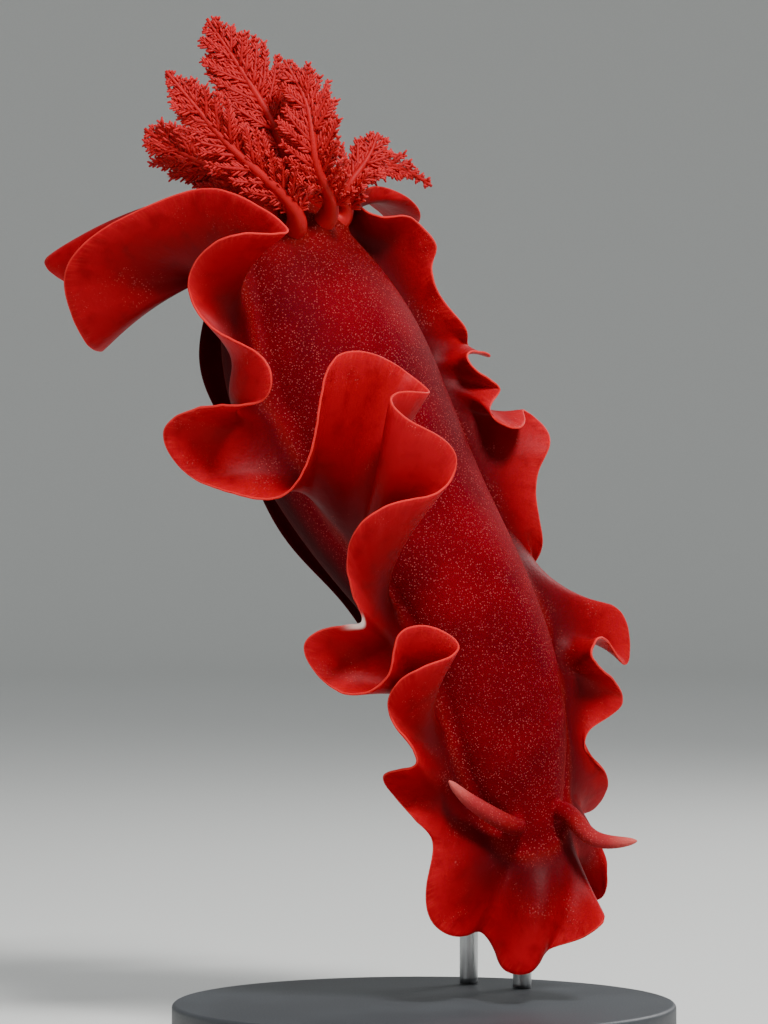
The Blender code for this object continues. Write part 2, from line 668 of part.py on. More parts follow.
def largest_body(bm):
    """Keeps only the largest closed surface of a mesh."""
    left = set(bm.faces)
    bodies = []
    while left:
        seed = left.pop()
        body = [seed]
        front = [seed]
        while front:
            face = front.pop()
            for edge in face.edges:
                for other in edge.link_faces:
                    if other in left:
                        left.remove(other)
                        body.append(other)
                        front.append(other)
        bodies.append(body)
    bodies.sort(key=lambda body: sum(face.calc_area() for face in body))
    loose = [face for body in bodies[:-1] for face in body]
    bmesh.ops.delete(bm, geom=loose, context="FACES")


def fuse(body, parts):
    """Joins closed parts to a body by one union and takes the parts away."""
    group = bpy.data.collections.new(body.name + "_parts")
    bpy.context.scene.collection.children.link(group)
    for part in parts:
        bpy.context.scene.collection.objects.unlink(part)
        group.objects.link(part)
    join = body.modifiers.new("join", "BOOLEAN")
    join.operation = "UNION"
    join.operand_type = "COLLECTION"
    join.collection = group
    join.solver = "MANIFOLD"
    graph = bpy.context.evaluated_depsgraph_get()
    fused = bpy.data.meshes.new_from_object(body.evaluated_get(graph))
    body.modifiers.remove(join)
    body.data = fused
    for part in parts:
        bpy.data.objects.remove(part, do_unlink=True)
    bpy.data.collections.remove(group)
    bm = bmesh.new()
    bm.from_mesh(fused)
    bmesh.ops.triangulate(bm, faces=bm.faces)
    bmesh.ops.dissolve_degenerate(bm, edges=bm.edges, dist=0.00002)
    bmesh.ops.triangulate(bm, faces=bm.faces)
    largest_body(bm)
    bm.to_mesh(fused)
    bm.free()


def plume(name, station, angle, bends, half_wide, draw, colour, rough):
    """A gill: a tapering stem with side filaments in pairs, fused into one body."""
    def radius_at(share):
        return GILL_FOOT * (1.0 - share) ** 1.2 + GILL_TIP

    rings, base, path, reach = stalk_rings(station, angle, seen(bends), radius_at, GILL_SIDES, 11)
    points, faces = tube(rings, first_tip=base)
    stem = add_solid(name, points, faces, colour, rough)
    pairs = int(reach * (1.0 - GILL_FIRST) / GILL_SPACING)
    parts = []
    for k in range(pairs):
        along = (k + 0.5) / pairs
        for side in (-1.0, 1.0):
            share = GILL_FIRST + (0.97 - GILL_FIRST) * along + 0.006 * side
            here = path(share * reach)
            heading = unit(path(min(share + 0.02, 1.0) * reach) - path((share - 0.02) * reach))
            wide = unit(np.cross(np.array([0.0, 0.0, 1.0]), heading)) * side
            front = unit(np.cross(heading, wide)) * side
            turn = draw.uniform(-0.15, 0.45) if k % 2 else draw.uniform(-0.45, 0.15)
            lean = unit(heading * 0.62 + wide * 0.78 + front * turn)
            length = half_wide / 0.78 * math.sin(math.pi * (0.12 + 0.84 * along) ** 0.85)
            length = max(length * draw.uniform(0.85, 1.1), 2.4)
            root = min(GILL_FILAMENT, radius_at(share) * 0.85)
            marks = [here, here + lean * length * 0.45 + heading * length * 0.02,
                     here + lean * length * 0.82 + heading * length * 0.08,
                     here + lean * length + heading * length * 0.14]
            points, faces = tapered(marks, (root, root * 0.8, root * 0.6), 4)
            parts.append(add_solid(f"{name}_filament_{len(parts)}", points, faces, colour, rough))
    fuse(stem, parts)
    return stem


def horn(name, station, angle, bends, root, sleeve, colour, rough):
    """A smooth tapering horn on a swollen socket."""
    def radius_at(share):
        taper = root * (1.0 - share) ** 0.62 + 0.7
        return taper + sleeve * math.exp(-(share / 0.1) ** 2)

    rings, base, _, _ = stalk_rings(station, angle, seen(bends), radius_at, 12, 12)
    points, faces = tube(rings, first_tip=base)
    return add_solid(name, points, faces, colour, rough)


def paddle(name, station, angle, bends, half_wide, plane, colour, rough):
    """A broad soft feeler beside the mouth."""
    def radius_at(share):
        return half_wide * (0.55 + 0.45 * math.sin(math.pi * share)) * (1.0 - 0.75 * share ** 5)

    def flat(share):
        return 0.8 - 0.45 * share

    rings, base, _, _ = stalk_rings(station, angle, bends, radius_at, 10, 7, rise=2.0,
                                    flat=flat, plane=plane)
    points, faces = tube(rings, first_tip=base)
    return add_solid(name, points, faces, colour, rough)


def mouth(name, station, angle, colour, rough):
    """Puckered lips round a shallow mouth."""
    _, _, normal = skin_axes(np.float64(station), np.float64(angle))
    base = skin(np.float64(station), np.float64(angle), SEAM_GAP)
    wide = unit(np.cross(normal, np.array([1.0, 0.0, 0.0])))
    tall = np.cross(normal, wide)
    turn = np.arange(14) * 2.0 * math.pi / 14
    rings = []
    for radius, rise in ((4.2, 0.0), (4.8, 1.0), (4.0, 2.4), (2.6, 2.9), (1.4, 2.2)):
        ring = wide * (np.cos(turn) * radius)[:, None] + tall * (np.sin(turn) * radius)[:, None]
        if rise == 0.0:
            ring = beside(np.full(14, float(station)), np.full(14, float(angle)), ring, SEAM_GAP)
        else:
            ring = base + ring + normal * rise
        rings.append(ring)
    points, faces = tube(rings, base, base + normal * 1.4)
    return add_solid(name, points, faces, colour, rough)


def stand_base():
    """A flat round base with eased edges, its underside on the ground."""
    turn = np.arange(BASE_SIDES) * 2.0 * math.pi / BASE_SIDES
    rings = []
    for radius, up in ((BASE_RADIUS - 1.0, 0.0), (BASE_RADIUS, 1.0),
                       (BASE_RADIUS, BASE_THICK - BASE_CHAMFER),
                       (BASE_RADIUS - BASE_CHAMFER, BASE_THICK)):
        ring = np.stack([STAND_ACROSS + radius * np.cos(turn), np.full(BASE_SIDES, up),
                         radius * np.sin(turn)], -1)
        rings.append(ring)
    points, faces = tube(rings)
    return add_solid("stand_base", points, faces, (0.035, 0.038, 0.042), 0.45)


def stand_rod(name, station, angle, knee, heel):
    """A bent rod from a round pad under the sole down to the top of the base."""
    _, _, normal = skin_axes(np.float64(station), np.float64(angle))
    start = skin(np.float64(station), np.float64(angle), SEAM_GAP * 2 + FOOT_THICK + 0.1)
    end = np.array([heel[0], BASE_THICK + SEAM_GAP, heel[1]])
    marks = np.array([start, start + normal * 6.0, np.array(knee), end + np.array([0.0, 25.0, 0.0]), end])
    path = spline(chord(marks), marks)
    reach = chord(marks)[-1]
    turn = np.arange(ROD_SIDES) * 2.0 * math.pi / ROD_SIDES
    wide = unit(np.cross(normal, np.array([1.0, 0.0, 0.0])))
    rings = []
    for share, radius in ([(0.0, ROD_PAD_RADIUS), (0.012, ROD_PAD_RADIUS), (0.03, ROD_RADIUS)]
                          + [(s, ROD_RADIUS) for s in np.linspace(0.06, 1.0, ROD_RINGS)]):
        if share < 0.03:
            heading = normal
            here = start + normal * share * reach
        elif share == 1.0:
            heading = np.array([0.0, -1.0, 0.0])
            here = end
        else:
            heading = unit(path(min(share + 0.005, 1.0) * reach) - path((share - 0.005) * reach))
            here = path(share * reach)
        wide = unit(wide - heading * np.dot(wide, heading))
        thick = np.cross(heading, wide)
        rings.append(here + wide * (np.cos(turn) * radius)[:, None]
                     + thick * (np.sin(turn) * radius)[:, None])
    points, faces = tube(rings)
    return add_solid(name, points, faces, (0.55, 0.56, 0.57), 0.3, 1.0)


BACK_RED = (0.33, 0.016, 0.014)
MANTLE_RED = (0.48, 0.012, 0.014)
FOOT_RED = (0.36, 0.020, 0.022)
GILL_RED = (0.62, 0.060, 0.045)
HORN_PINK = (0.58, 0.120, 0.125)

cuts = (0.0,) + TRUNK_CUTS + (TRUNK_LENGTH,)
for index, piece in enumerate(("body_rear", "body_middle", "body_front", "head")):
    start = cuts[index] + (SEAM_GAP / 2 if index > 0 else 0.0)
    stop = cuts[index + 1] - (SEAM_GAP / 2 if index < 3 else 0.0)
    trunk_length(piece, start, stop, BACK_RED, 0.5)

mantle_lengths(MANTLE_RED, 0.42)

foot_middle = (FOOT_FIRST + FOOT_LAST) / 2
foot_length("foot_rear", FOOT_FIRST, foot_middle - SEAM_GAP / 2, FOOT_RED, 0.5)
foot_length("foot_front", foot_middle + SEAM_GAP / 2, FOOT_LAST, FOOT_RED, 0.5)

for index, (gill_name, gill_station, gill_angle, gill_bends, gill_half) in enumerate(GILL_ROWS):
    plume(gill_name, gill_station, gill_angle, gill_bends, gill_half, random.Random(GILL_SEED + index),
          GILL_RED, 0.45)

horn("rhinophore_right", 234.5, -29.0, ((46.7, 76.7, 20.0), (41.0, 81.0, 24.0), (36.3, 85.7, 26.0)),
     2.9, 1.2, HORN_PINK, 0.4)
horn("rhinophore_left", 236.5, 36.0, ((83.3, 67.3, 8.0), (90.7, 65.3, 12.0), (99.0, 65.7, 14.0)),
     2.9, 1.2, HORN_PINK, 0.4)

paddle("oral_tentacle_right", 238.0, -128.0, ((44.0, 50.0, -20.0), (40.0, 42.0, -26.0)), 5.5,
       (0.3, 0.0, 1.0), FOOT_RED, 0.45)
paddle("oral_tentacle_left", 238.0, 140.0, ((78.0, 52.0, -30.0), (84.0, 44.0, -36.0)), 5.5,
       (-0.3, 0.0, 1.0), FOOT_RED, 0.45)
mouth("mouth", 243.0, 180.0, FOOT_RED, 0.4)

stand_base()
stand_rod("stand_rod_rear", 98.0, 180.0, (14.0, 140.0, -66.0), (44.0, -58.0))
stand_rod("stand_rod_front", 176.0, 180.0, (50.0, 82.0, -50.0), (62.0, -44.0))
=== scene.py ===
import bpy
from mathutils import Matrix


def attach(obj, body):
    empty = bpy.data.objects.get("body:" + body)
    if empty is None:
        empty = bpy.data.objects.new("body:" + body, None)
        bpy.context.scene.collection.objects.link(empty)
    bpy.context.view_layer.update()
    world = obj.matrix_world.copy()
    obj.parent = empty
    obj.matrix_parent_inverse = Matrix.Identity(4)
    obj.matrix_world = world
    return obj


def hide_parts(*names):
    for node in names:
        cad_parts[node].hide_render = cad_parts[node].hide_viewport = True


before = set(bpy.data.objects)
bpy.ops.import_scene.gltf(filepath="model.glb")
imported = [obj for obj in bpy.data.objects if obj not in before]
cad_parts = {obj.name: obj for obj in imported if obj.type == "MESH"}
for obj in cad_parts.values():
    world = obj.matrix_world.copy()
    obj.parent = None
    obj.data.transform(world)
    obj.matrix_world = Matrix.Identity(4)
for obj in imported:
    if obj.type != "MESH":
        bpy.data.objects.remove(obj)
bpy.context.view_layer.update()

import math
import random

import bmesh
import bpy
import numpy as np
from mathutils import Vector, kdtree

# A spanish dancer sea slug swimming head down, on a plain stand.
# Shapes are drawn in millimetres: across (picture right), up, toward (the viewer).

stage = {"standAcross": 28.0, "sightAcross": 14.67, "sightUp": 175.33, "sightReach": 1500.0}
seam = 0.3        # gap that the solids keep between pieces, mm


def unit(v):
    return v / np.linalg.norm(v, axis=-1, keepdims=True)


def toWorld(points):        # drawing millimetres to metres in the frame
    p = np.asarray(points, float)
    return np.stack([p[..., 0] - stage["standAcross"], -p[..., 2], p[..., 1]], -1) / 1000.0


def drawnIn(points):        # near points pulled in, so that they keep their look from the front
    p = np.array(points, float)
    near = 1.0 - p[..., 2:3] / stage["sightReach"]
    middle = np.array([stage["sightAcross"], stage["sightUp"]])
    p[..., :2] = middle + (p[..., :2] - middle) * near
    return p


def smoothCurve(knots, values, closed=False):        # cubic through the values
    k = np.asarray(knots, float)
    v = np.asarray(values, float)
    n = len(k)
    h = np.diff(k)
    lhs = np.zeros((n, n))
    rhs = np.zeros(v.shape)
    for i in range(n - 1):
        if i == 0 and not closed:
            lhs[0, 0], lhs[0, 1] = 2.0, 1.0
            rhs[0] = 3.0 * (v[1] - v[0]) / h[0]
            continue
        before = i - 1 if i > 0 else n - 2
        gap = h[i - 1] if i > 0 else h[-1]
        lhs[i, before] += 1.0 / gap
        lhs[i, i] += 2.0 * (1.0 / gap + 1.0 / h[i])
        lhs[i, i + 1] += 1.0 / h[i]
        rhs[i] = 3.0 * ((v[i] - v[before]) / gap ** 2 + (v[i + 1] - v[i]) / h[i] ** 2)
    if closed:
        lhs[n - 1, n - 1], lhs[n - 1, 0] = 1.0, -1.0
    else:
        lhs[-1, -1], lhs[-1, -2] = 2.0, 1.0
        rhs[-1] = 3.0 * (v[-1] - v[-2]) / h[-1]
    slope = np.linalg.solve(lhs, rhs)

    def at(x):
        x = np.asarray(x, float)
        i = np.clip(np.searchsorted(k, x, side="right") - 1, 0, n - 2)
        d = h[i]
        s = (x - k[i]) / d
        if v.ndim > 1:
            s = s[..., None]
            d = d[..., None]
        return (v[i] * (1 + 2 * s) * (1 - s) ** 2 + slope[i] * d * s * (1 - s) ** 2
                + v[i + 1] * s * s * (3 - 2 * s) + slope[i + 1] * d * s * s * (s - 1))
    return at


def risingCurve(knots, values):        # a curve that never turns back
    k = np.asarray(knots, float)
    v = np.asarray(values, float)
    h = np.diff(k)
    d = np.diff(v) / h
    slope = np.concatenate([[d[0]], 2.0 / (1.0 / d[1:] + 1.0 / d[:-1]), [d[-1]]])

    def at(x):
        x = np.asarray(x, float)
        i = np.clip(np.searchsorted(k, x, side="right") - 1, 0, len(k) - 2)
        s = (x - k[i]) / h[i]
        return (v[i] * (1 + 2 * s) * (1 - s) ** 2 + slope[i] * h[i] * s * (1 - s) ** 2
                + v[i + 1] * s * s * (3 - 2 * s) + slope[i + 1] * h[i] * s * s * (s - 1))
    return at


def runningLength(points):
    return np.concatenate([[0.0], np.cumsum(np.linalg.norm(np.diff(points, axis=0), axis=1))])


def eased(edge0, edge1, x):        # 0 before edge0, 1 after edge1
    t = np.clip((x - edge0) / (edge1 - edge0), 0.0, 1.0)
    return t * t * (3 - 2 * t)


trunk = {        # tail to head: across, up, toward, half width, back, belly, roll to picture right
    "rows": (
        (-24.5, 289.0, -15.0, 3.0, 2.5, 3.0, 40.0),
        (-22.0, 279.5, -9.5, 12.5, 8.0, 11.0, 40.0),
        (-16.0, 262.0, -4.0, 24.0, 15.5, 23.0, 40.0),
        (-6.5, 236.0, 0.0, 34.0, 23.0, 36.0, 40.0),
        (5.5, 206.0, 2.5, 36.0, 25.0, 38.0, 40.0),
        (21.0, 176.0, 4.0, 32.5, 22.5, 34.0, 39.0),
        (38.5, 146.0, 4.0, 28.0, 20.5, 28.0, 37.0),
        (50.5, 116.0, 2.0, 25.5, 18.5, 24.0, 34.0),
        (56.0, 92.5, -1.0, 21.5, 15.5, 19.5, 30.0),
        (60.0, 75.0, -4.0, 16.0, 11.5, 14.5, 26.0),
        (63.5, 64.0, -6.0, 11.5, 8.5, 10.0, 24.0),
        (66.0, 56.5, -7.5, 4.5, 3.5, 4.0, 22.0),
    ),
    "bellyFrom": 84.0, "bellyFull": 112.0,        # degrees from the back where the belly's dark painted shade sets in
    "rings": 300, "sides": 220,
}
trunkRows = np.array(trunk["rows"])
trunkKnots = runningLength(trunkRows[:, :3])
trunkAt = smoothCurve(trunkKnots, trunkRows)
trunkLength = trunkKnots[-1]


def ringAt(station):        # sizes, side axis and back axis of the trunk's ring
    row = trunkAt(station)
    ahead = unit(trunkAt(station + 0.5)[..., :3] - trunkAt(station - 0.5)[..., :3])
    side = unit(np.cross(np.array([0.0, 0.0, 1.0]), ahead))
    back = unit(np.cross(ahead, side))
    roll = np.radians(row[..., 6])[..., None]
    return row, side * np.cos(roll) - back * np.sin(roll), back * np.cos(roll) + side * np.sin(roll)


def skinAt(station, angle, lift=0.0):        # angle from the middle of the back
    station = np.asarray(station, float)
    row, side, back = ringAt(station)
    t = np.radians(np.asarray(angle, float))
    across = (row[..., 3] + lift) * np.sin(t)
    height = np.where(np.cos(t) > 0, row[..., 4], row[..., 5]) + lift
    return row[..., :3] + side * across[..., None] + back * (height * np.cos(t))[..., None]


def skinAxes(station, angle):
    along = skinAt(station + 0.5, angle) - skinAt(station - 0.5, angle)
    around = skinAt(station, angle + 0.5) - skinAt(station, angle - 0.5)
    normal = unit(np.cross(around, along))
    outward = skinAt(station, angle, 1.0) - skinAt(station, angle)
    return along, around, normal * np.sign(np.sum(normal * outward, axis=-1, keepdims=True))


inland = 40.0        # distance to the margin given to all flesh but the mantle, mm


def fleshMarks(count, belly):        # share of the width, mm to the margin, mm along it, belly, horn
    marks = np.zeros((count, 5))
    marks[:, 1] = inland
    marks[:, 3] = belly
    return marks


mantle = {        # the free edge: turn round the body, across, up, toward
    "folds": (
        # the long lobe swept over the tail and its hairpin
        (0.0, -20.0, 294.0, -8.0), (6.0, -30.0, 287.0, -8.0), (10.0, -44.0, 279.0, -14.0),
        (15.0, -66.0, 268.0, -24.0), (22.0, -98.3, 257.7, -24.0), (27.0, -84.0, 247.0, -20.0),
        (31.5, -76.0, 236.0, -10.0), (35.0, -81.0, 229.0, 4.0), (37.5, -90.7, 244.3, 18.0),
        (39.5, -91.3, 256.7, 26.0), (41.5, -81.7, 268.0, 32.0), (44.0, -66.7, 276.3, 38.0),
        (46.5, -48.0, 283.0, 46.0), (48.5, -31.7, 280.0, 56.0), (50.5, -17.7, 268.7, 66.0),
        (52.0, -31.7, 268.3, 70.0), (53.5, -45.0, 262.7, 66.0), (55.5, -50.7, 251.0, 60.0),
        (58.0, -45.7, 239.7, 60.0), (60.5, -33.3, 231.7, 66.0), (63.0, -23.3, 223.0, 72.0),
        # the open cup and the tall double fold over the flank
        (65.0, -23.3, 215.3, 70.0), (67.0, -35.0, 211.0, 62.0), (69.0, -50.0, 209.3, 50.0),
        (71.0, -59.0, 201.7, 42.0), (74.0, -54.0, 190.7, 42.0), (77.0, -38.3, 182.3, 50.0),
        (79.5, -18.3, 181.3, 60.0), (81.5, -11.3, 191.0, 64.0), (83.5, -6.7, 211.0, 68.0),
        (85.5, -1.7, 226.7, 66.0), (87.5, 10.7, 228.3, 56.0), (89.5, 23.0, 221.5, 47.0),
        (91.5, 29.7, 215.7, 53.0), (93.0, 23.5, 215.7, 62.0), (94.5, 17.0, 213.0, 70.0),
        (96.0, 21.5, 207.3, 74.0), (97.0, 31.0, 202.0, 70.0), (98.5, 39.0, 192.7, 64.0),
        (100.0, 35.0, 183.7, 66.0), (101.5, 20.0, 179.0, 72.0), (103.0, 7.3, 172.0, 72.0),
        (105.0, 2.3, 159.3, 64.0), (107.0, 5.7, 144.3, 56.0), (109.0, 7.0, 138.7, 48.0),
        # two small cups behind the head
        (111.0, -2.7, 137.0, 40.0), (113.0, -12.0, 131.0, 34.0), (115.5, -6.0, 119.3, 38.0),
        (118.0, 6.7, 114.7, 46.0), (120.5, 16.7, 122.7, 52.0), (122.5, 19.7, 134.7, 54.0),
        (124.5, 30.0, 137.3, 52.0), (127.0, 39.7, 130.3, 50.0), (129.0, 30.0, 124.7, 54.0),
        (131.0, 19.3, 118.7, 52.0), (133.0, 16.0, 109.3, 46.0), (135.5, 20.5, 101.5, 44.5),
        (137.5, 24.6, 96.0, 43.0), (139.3, 25.4, 91.8, 41.0), (141.2, 20.5, 89.6, 37.0),
        (144.0, 14.3, 87.3, 31.0), (148.0, 20.0, 78.3, 26.0), (151.0, 26.7, 71.0, 24.0),
        # the broad lobes in front of the head
        (154.0, 30.3, 66.7, 21.0), (158.0, 29.0, 52.7, 20.0), (162.0, 31.3, 37.7, 19.0),
        (166.0, 40.0, 33.7, 14.0), (170.0, 47.7, 34.7, 4.0), (173.0, 52.0, 27.7, 7.0),
        (177.0, 55.7, 22.0, 13.0), (181.0, 63.3, 21.7, 14.0), (183.5, 68.3, 28.3, 9.0),
        (186.0, 78.3, 32.3, 10.0), (188.5, 88.0, 39.0, 12.0), (190.0, 85.5, 42.5, 3.0),
        (191.5, 80.7, 46.3, -7.0), (194.5, 75.3, 54.5, -17.0), (197.5, 79.0, 48.0, -28.0),
        (200.5, 85.7, 46.0, -27.0), (203.5, 89.0, 56.0, -20.0), (206.5, 86.7, 63.3, -20.0),
        (210.0, 77.3, 73.3, -24.0),
        # the far side's flaring leaf and the loop beside the head
        (213.5, 83.3, 75.7, -30.0), (216.5, 88.8, 82.5, -28.0), (219.5, 89.0, 87.5, -23.0),
        (222.5, 86.0, 91.5, -18.0), (226.0, 82.0, 96.0, -15.0), (229.0, 82.5, 101.3, -14.0),
        (231.3, 87.3, 105.5, -17.0), (234.0, 94.0, 111.3, -22.0), (237.0, 91.3, 119.3, -14.0),
        (239.0, 84.0, 129.3, -2.0), (241.0, 85.7, 132.7, -6.0), (243.0, 91.0, 130.0, -18.0),
        (245.5, 95.7, 124.7, -28.0), (248.6, 96.3, 135.3, -30.0), (251.4, 90.7, 144.0, -27.0),
        (254.6, 81.7, 143.3, -29.0), (256.8, 73.7, 146.3, -34.0), (259.0, 66.5, 149.0, -40.0),
        # the long smooth leaf, then the little curled ring
        (261.2, 64.0, 155.5, -38.0), (262.8, 67.0, 162.0, -32.0), (268.5, 66.0, 176.0, -26.0),
        (274.0, 66.7, 190.0, -26.0), (278.0, 70.0, 197.5, -28.0), (281.5, 67.5, 204.5, -33.0),
        (284.0, 62.0, 209.0, -31.0), (285.7, 61.8, 205.8, -20.0), (287.2, 58.0, 203.2, -12.0),
        (288.9, 53.0, 205.2, -11.0), (290.4, 50.3, 210.5, -17.0), (291.5, 53.5, 216.3, -25.0),
        (293.0, 48.7, 220.3, -19.0), (294.6, 42.8, 226.0, -15.0), (296.0, 45.0, 229.0, -22.0),
        (297.5, 50.0, 227.3, -31.0), (299.5, 43.5, 230.0, -35.0), (301.5, 42.5, 235.3, -28.0),
        (304.6, 36.3, 243.7, -24.0),
        # shallow waves and the funnel beside the gills
        (310.0, 31.0, 254.3, -20.0), (312.5, 31.0, 258.5, -21.0), (315.5, 32.3, 263.0, -20.0),
        (319.5, 28.0, 270.0, -17.0), (322.5, 22.7, 274.0, -12.0), (326.0, 14.3, 273.7, -6.0),
        (330.0, 6.7, 277.7, -11.0), (332.5, 8.7, 283.0, -19.0), (334.5, 17.7, 282.7, -29.0),
        (337.0, 26.7, 275.3, -39.0), (340.5, 23.0, 270.0, -50.0), (344.5, 10.0, 278.0, -50.0),
        (348.5, -1.0, 287.0, -40.0), (353.0, -10.0, 292.0, -24.0), (360.0, -20.0, 294.0, -8.0),
    ),
    "sags": (        # where the sheet sags or swells: turn, reach in turns, how far its bend moves
        (33.0, 7.0, (0.0, -16.0, -4.0)), (34.6, 2.3, (0.0, 0.0, 9.0)), (39.4, 2.4, (0.0, 0.0, -9.0)),
        (64.0, 3.4, (-18.0, -3.0, 0.0)), (158.0, 4.0, (0.0, 0.0, 7.0)), (167.5, 3.5, (0.0, 0.0, -8.0)),
        (178.0, 4.5, (0.0, 0.0, 7.0)), (187.5, 3.0, (0.0, 0.0, -5.0)),
    ),
    "rootFirst": 11.0, "rootLast": 247.0, "rootRight": 76.0, "rootLeft": 90.0, "rootRounding": 3.0,
    "bend": 0.5, "slack": 6.0, "leanSpan": 6.0, "leanOwn": 0.75, "leanOut": 0.6,
    "crowding": 1.15, "closing": 12.0,        # rows drawn to the root, mm left still where the ends meet
    "rootThick": 1.8, "edgeThick": 0.8,
    "samples": 6000, "step": 3, "rows": 34,
    "sunk": 1.6, "flare": 1.7, "flareReach": 2.6,        # how the sheet swells into the trunk, mm
    "tremor": 0.1, "tremorLength": 7.0,        # small waves of the free margin, mm
}


def mantleRibs(m):        # the middle surface at every sample of the free edge
    folds = np.array(m["folds"])
    marks = drawnIn(folds[:, 1:])
    knots = runningLength(marks)
    fine = np.linspace(0.0, knots[-1], m["samples"] + 1)
    line = smoothCurve(knots, marks, closed=True)(fine)
    turn = risingCurve(knots, folds[:, 0])(fine)
    t = np.radians(turn)
    middle = (m["rootFirst"] + m["rootLast"]) / 2.0
    station = middle - (m["rootLast"] - m["rootFirst"]) / 2.0 * np.cos(t)
    share = np.tanh(m["rootRounding"] * np.sin(t)) / math.tanh(m["rootRounding"])
    angle = (m["rootRight"] + m["rootLeft"]) / 2.0 + (m["rootRight"] - m["rootLeft"]) / 2.0 * share
    angle = -share * angle
    roots = skinAt(station, angle, seam)
    reach = unit(line - skinAt(station, angle))
    step = np.linalg.norm(np.roll(line, -1, 0) - line, axis=1)
    lean = np.zeros((361, 3))
    for degree in range(361):
        away = (turn - degree + 180.0) % 360.0 - 180.0
        weight = np.exp(-0.5 * (away / m["leanSpan"]) ** 2) * step
        lean[degree] = (reach * weight[:, None]).sum(axis=0)
    lean = np.stack([np.interp(turn, np.arange(361), lean[:, k]) for k in range(3)], -1)
    _, _, outward = skinAxes(station, angle)
    lean = unit(unit(lean) * m["leanOwn"] + outward * m["leanOut"])
    width = np.linalg.norm(line - roots, axis=1)
    knee = roots + lean * (width * m["bend"])[:, None]
    for spot, span, shift in m["sags"]:
        away = (turn - spot + 180.0) % 360.0 - 180.0
        knee += np.exp(-(away / span) ** 2)[:, None] * np.array(shift)
    return line, fine, roots, knee, outward


def buildMantle(m):
    line, fine, roots, knee, outward = mantleRibs(m)
    count = m["samples"]
    shares = np.linspace(0.0, 1.0, m["rows"]) ** m["crowding"]
    v = shares[None, :, None]
    ribs = (1 - v) ** 2 * roots[:, None] + 2 * (1 - v) * v * knee[:, None] + v ** 2 * line[:, None]
    for j, share in enumerate(shares):        # inner rows even the folds out along the sheet
        slack = m["slack"] * 4.0 * share * (1.0 - share) * count / fine[-1]
        if slack > 0.5:
            span = int(3.0 * slack) + 1
            bell = np.exp(-0.5 * (np.arange(-span, span + 1) / slack) ** 2)
            ring = np.concatenate([ribs[-span - 1:-1, j], ribs[:, j], ribs[1:span + 1, j]])
            for k in range(3):
                ribs[:, j, k] = np.convolve(ring[:, k], bell / bell.sum(), mode="valid")
    picks = np.arange(0, count, m["step"])
    ribs = ribs[picks]
    along = np.roll(ribs, -1, 0) - np.roll(ribs, 1, 0)
    out = np.gradient(ribs, axis=1)
    normal = unit(np.cross(along, out))
    draw = random.Random(5)
    place = fine[picks]
    tremor = np.zeros(len(picks))
    for _ in range(5):
        length = m["tremorLength"] * round(draw.uniform(0.7, 1.6) * 10) / 10
        tremor += np.sin(place * 2 * math.pi / length + draw.uniform(0.0, 6.28)) / 2.2
    closing = np.clip(np.minimum(place, fine[-1] - place) / m["closing"], 0.0, 1.0)
    ribs = ribs + normal * (tremor * closing)[:, None, None] * m["tremor"] * shares[None, :, None] ** 6
    lengths = np.concatenate([np.zeros((len(picks), 1)),
                              np.cumsum(np.linalg.norm(np.diff(ribs, axis=1), axis=2), axis=1)], 1)
    half = 0.5 * (m["edgeThick"] + (m["rootThick"] - m["edgeThick"]) * (1.0 - v) ** 2.2)
    half = half + m["flare"] * np.exp(-(lengths[..., None] / m["flareReach"]) ** 1.5)
    toEdge = lengths[:, -1:] - lengths
    tip = unit(ribs[:, -1] - ribs[:, -2])
    radius = m["edgeThick"] / 2
    rim = []
    for turnUp in (30.0, 55.0, 78.0):        # the margin is rounded over its last half millimetre
        a = math.radians(turnUp)
        rim.append((ribs[:, -1] - tip * radius * (1 - math.sin(a)), radius * math.cos(a)))
    keep = ribs.shape[1] - 1
    body = ribs[:, :keep].copy()
    pull = np.minimum(toEdge[:, :keep], radius) - radius        # rows closer than the rounding step back
    body += tip[:, None] * pull[..., None]
    ribs = np.concatenate([body] + [p[:, None] for p, _ in rim], 1)
    half = np.concatenate([half[:, :keep, 0]] + [np.full((len(picks), 1), h) for _, h in rim], 1)[..., None]
    normal = np.concatenate([normal[:, :keep]] + [normal[:, -1:]] * len(rim), 1)
    upper = ribs + normal * half
    lower = ribs - normal * half
    sunk = ribs[:, 0] - outward[picks] * (m["sunk"] + seam)
    upper = np.concatenate([(sunk + normal[:, 0] * half[:, 0])[:, None], upper], 1)
    lower = np.concatenate([(sunk - normal[:, 0] * half[:, 0])[:, None], lower], 1)
    share = np.concatenate([[0.0], shares[:keep], [0.995, 0.998, 1.0]])
    toEdge = np.concatenate([toEdge[:, :1] + 1.0, toEdge[:, :keep], np.full((len(picks), 3), 0.1)], 1)
    columns, rows = upper.shape[:2]
    points = np.concatenate([upper.reshape(-1, 3), lower.reshape(-1, 3)])
    under = columns * rows
    i = np.arange(columns)[:, None]
    j = np.arange(rows - 1)[None, :]
    a = (i * rows + j).ravel()
    b = (((i + 1) % columns) * rows + j).ravel()
    faces = np.concatenate([np.stack([a, b, b + 1, a + 1], 1),
                            np.stack([under + a, under + a + 1, under + b + 1, under + b], 1)])
    i = np.arange(columns)
    n = (i + 1) % columns
    last = rows - 1
    rimFaces = np.stack([i * rows + last, n * rows + last,
                         under + n * rows + last, under + i * rows + last], 1)
    rootFaces = np.stack([i * rows, under + i * rows, under + n * rows, n * rows], 1)
    faces = np.concatenate([faces, rimFaces, rootFaces])
    marks = fleshMarks(len(points), 0.0)
    marks[:, 0] = np.tile(np.tile(share, columns), 2)
    marks[:, 1] = np.tile(toEdge.ravel(), 2)
    marks[:, 2] = np.tile(np.repeat(place, rows), 2)
    return points, faces.tolist(), marks


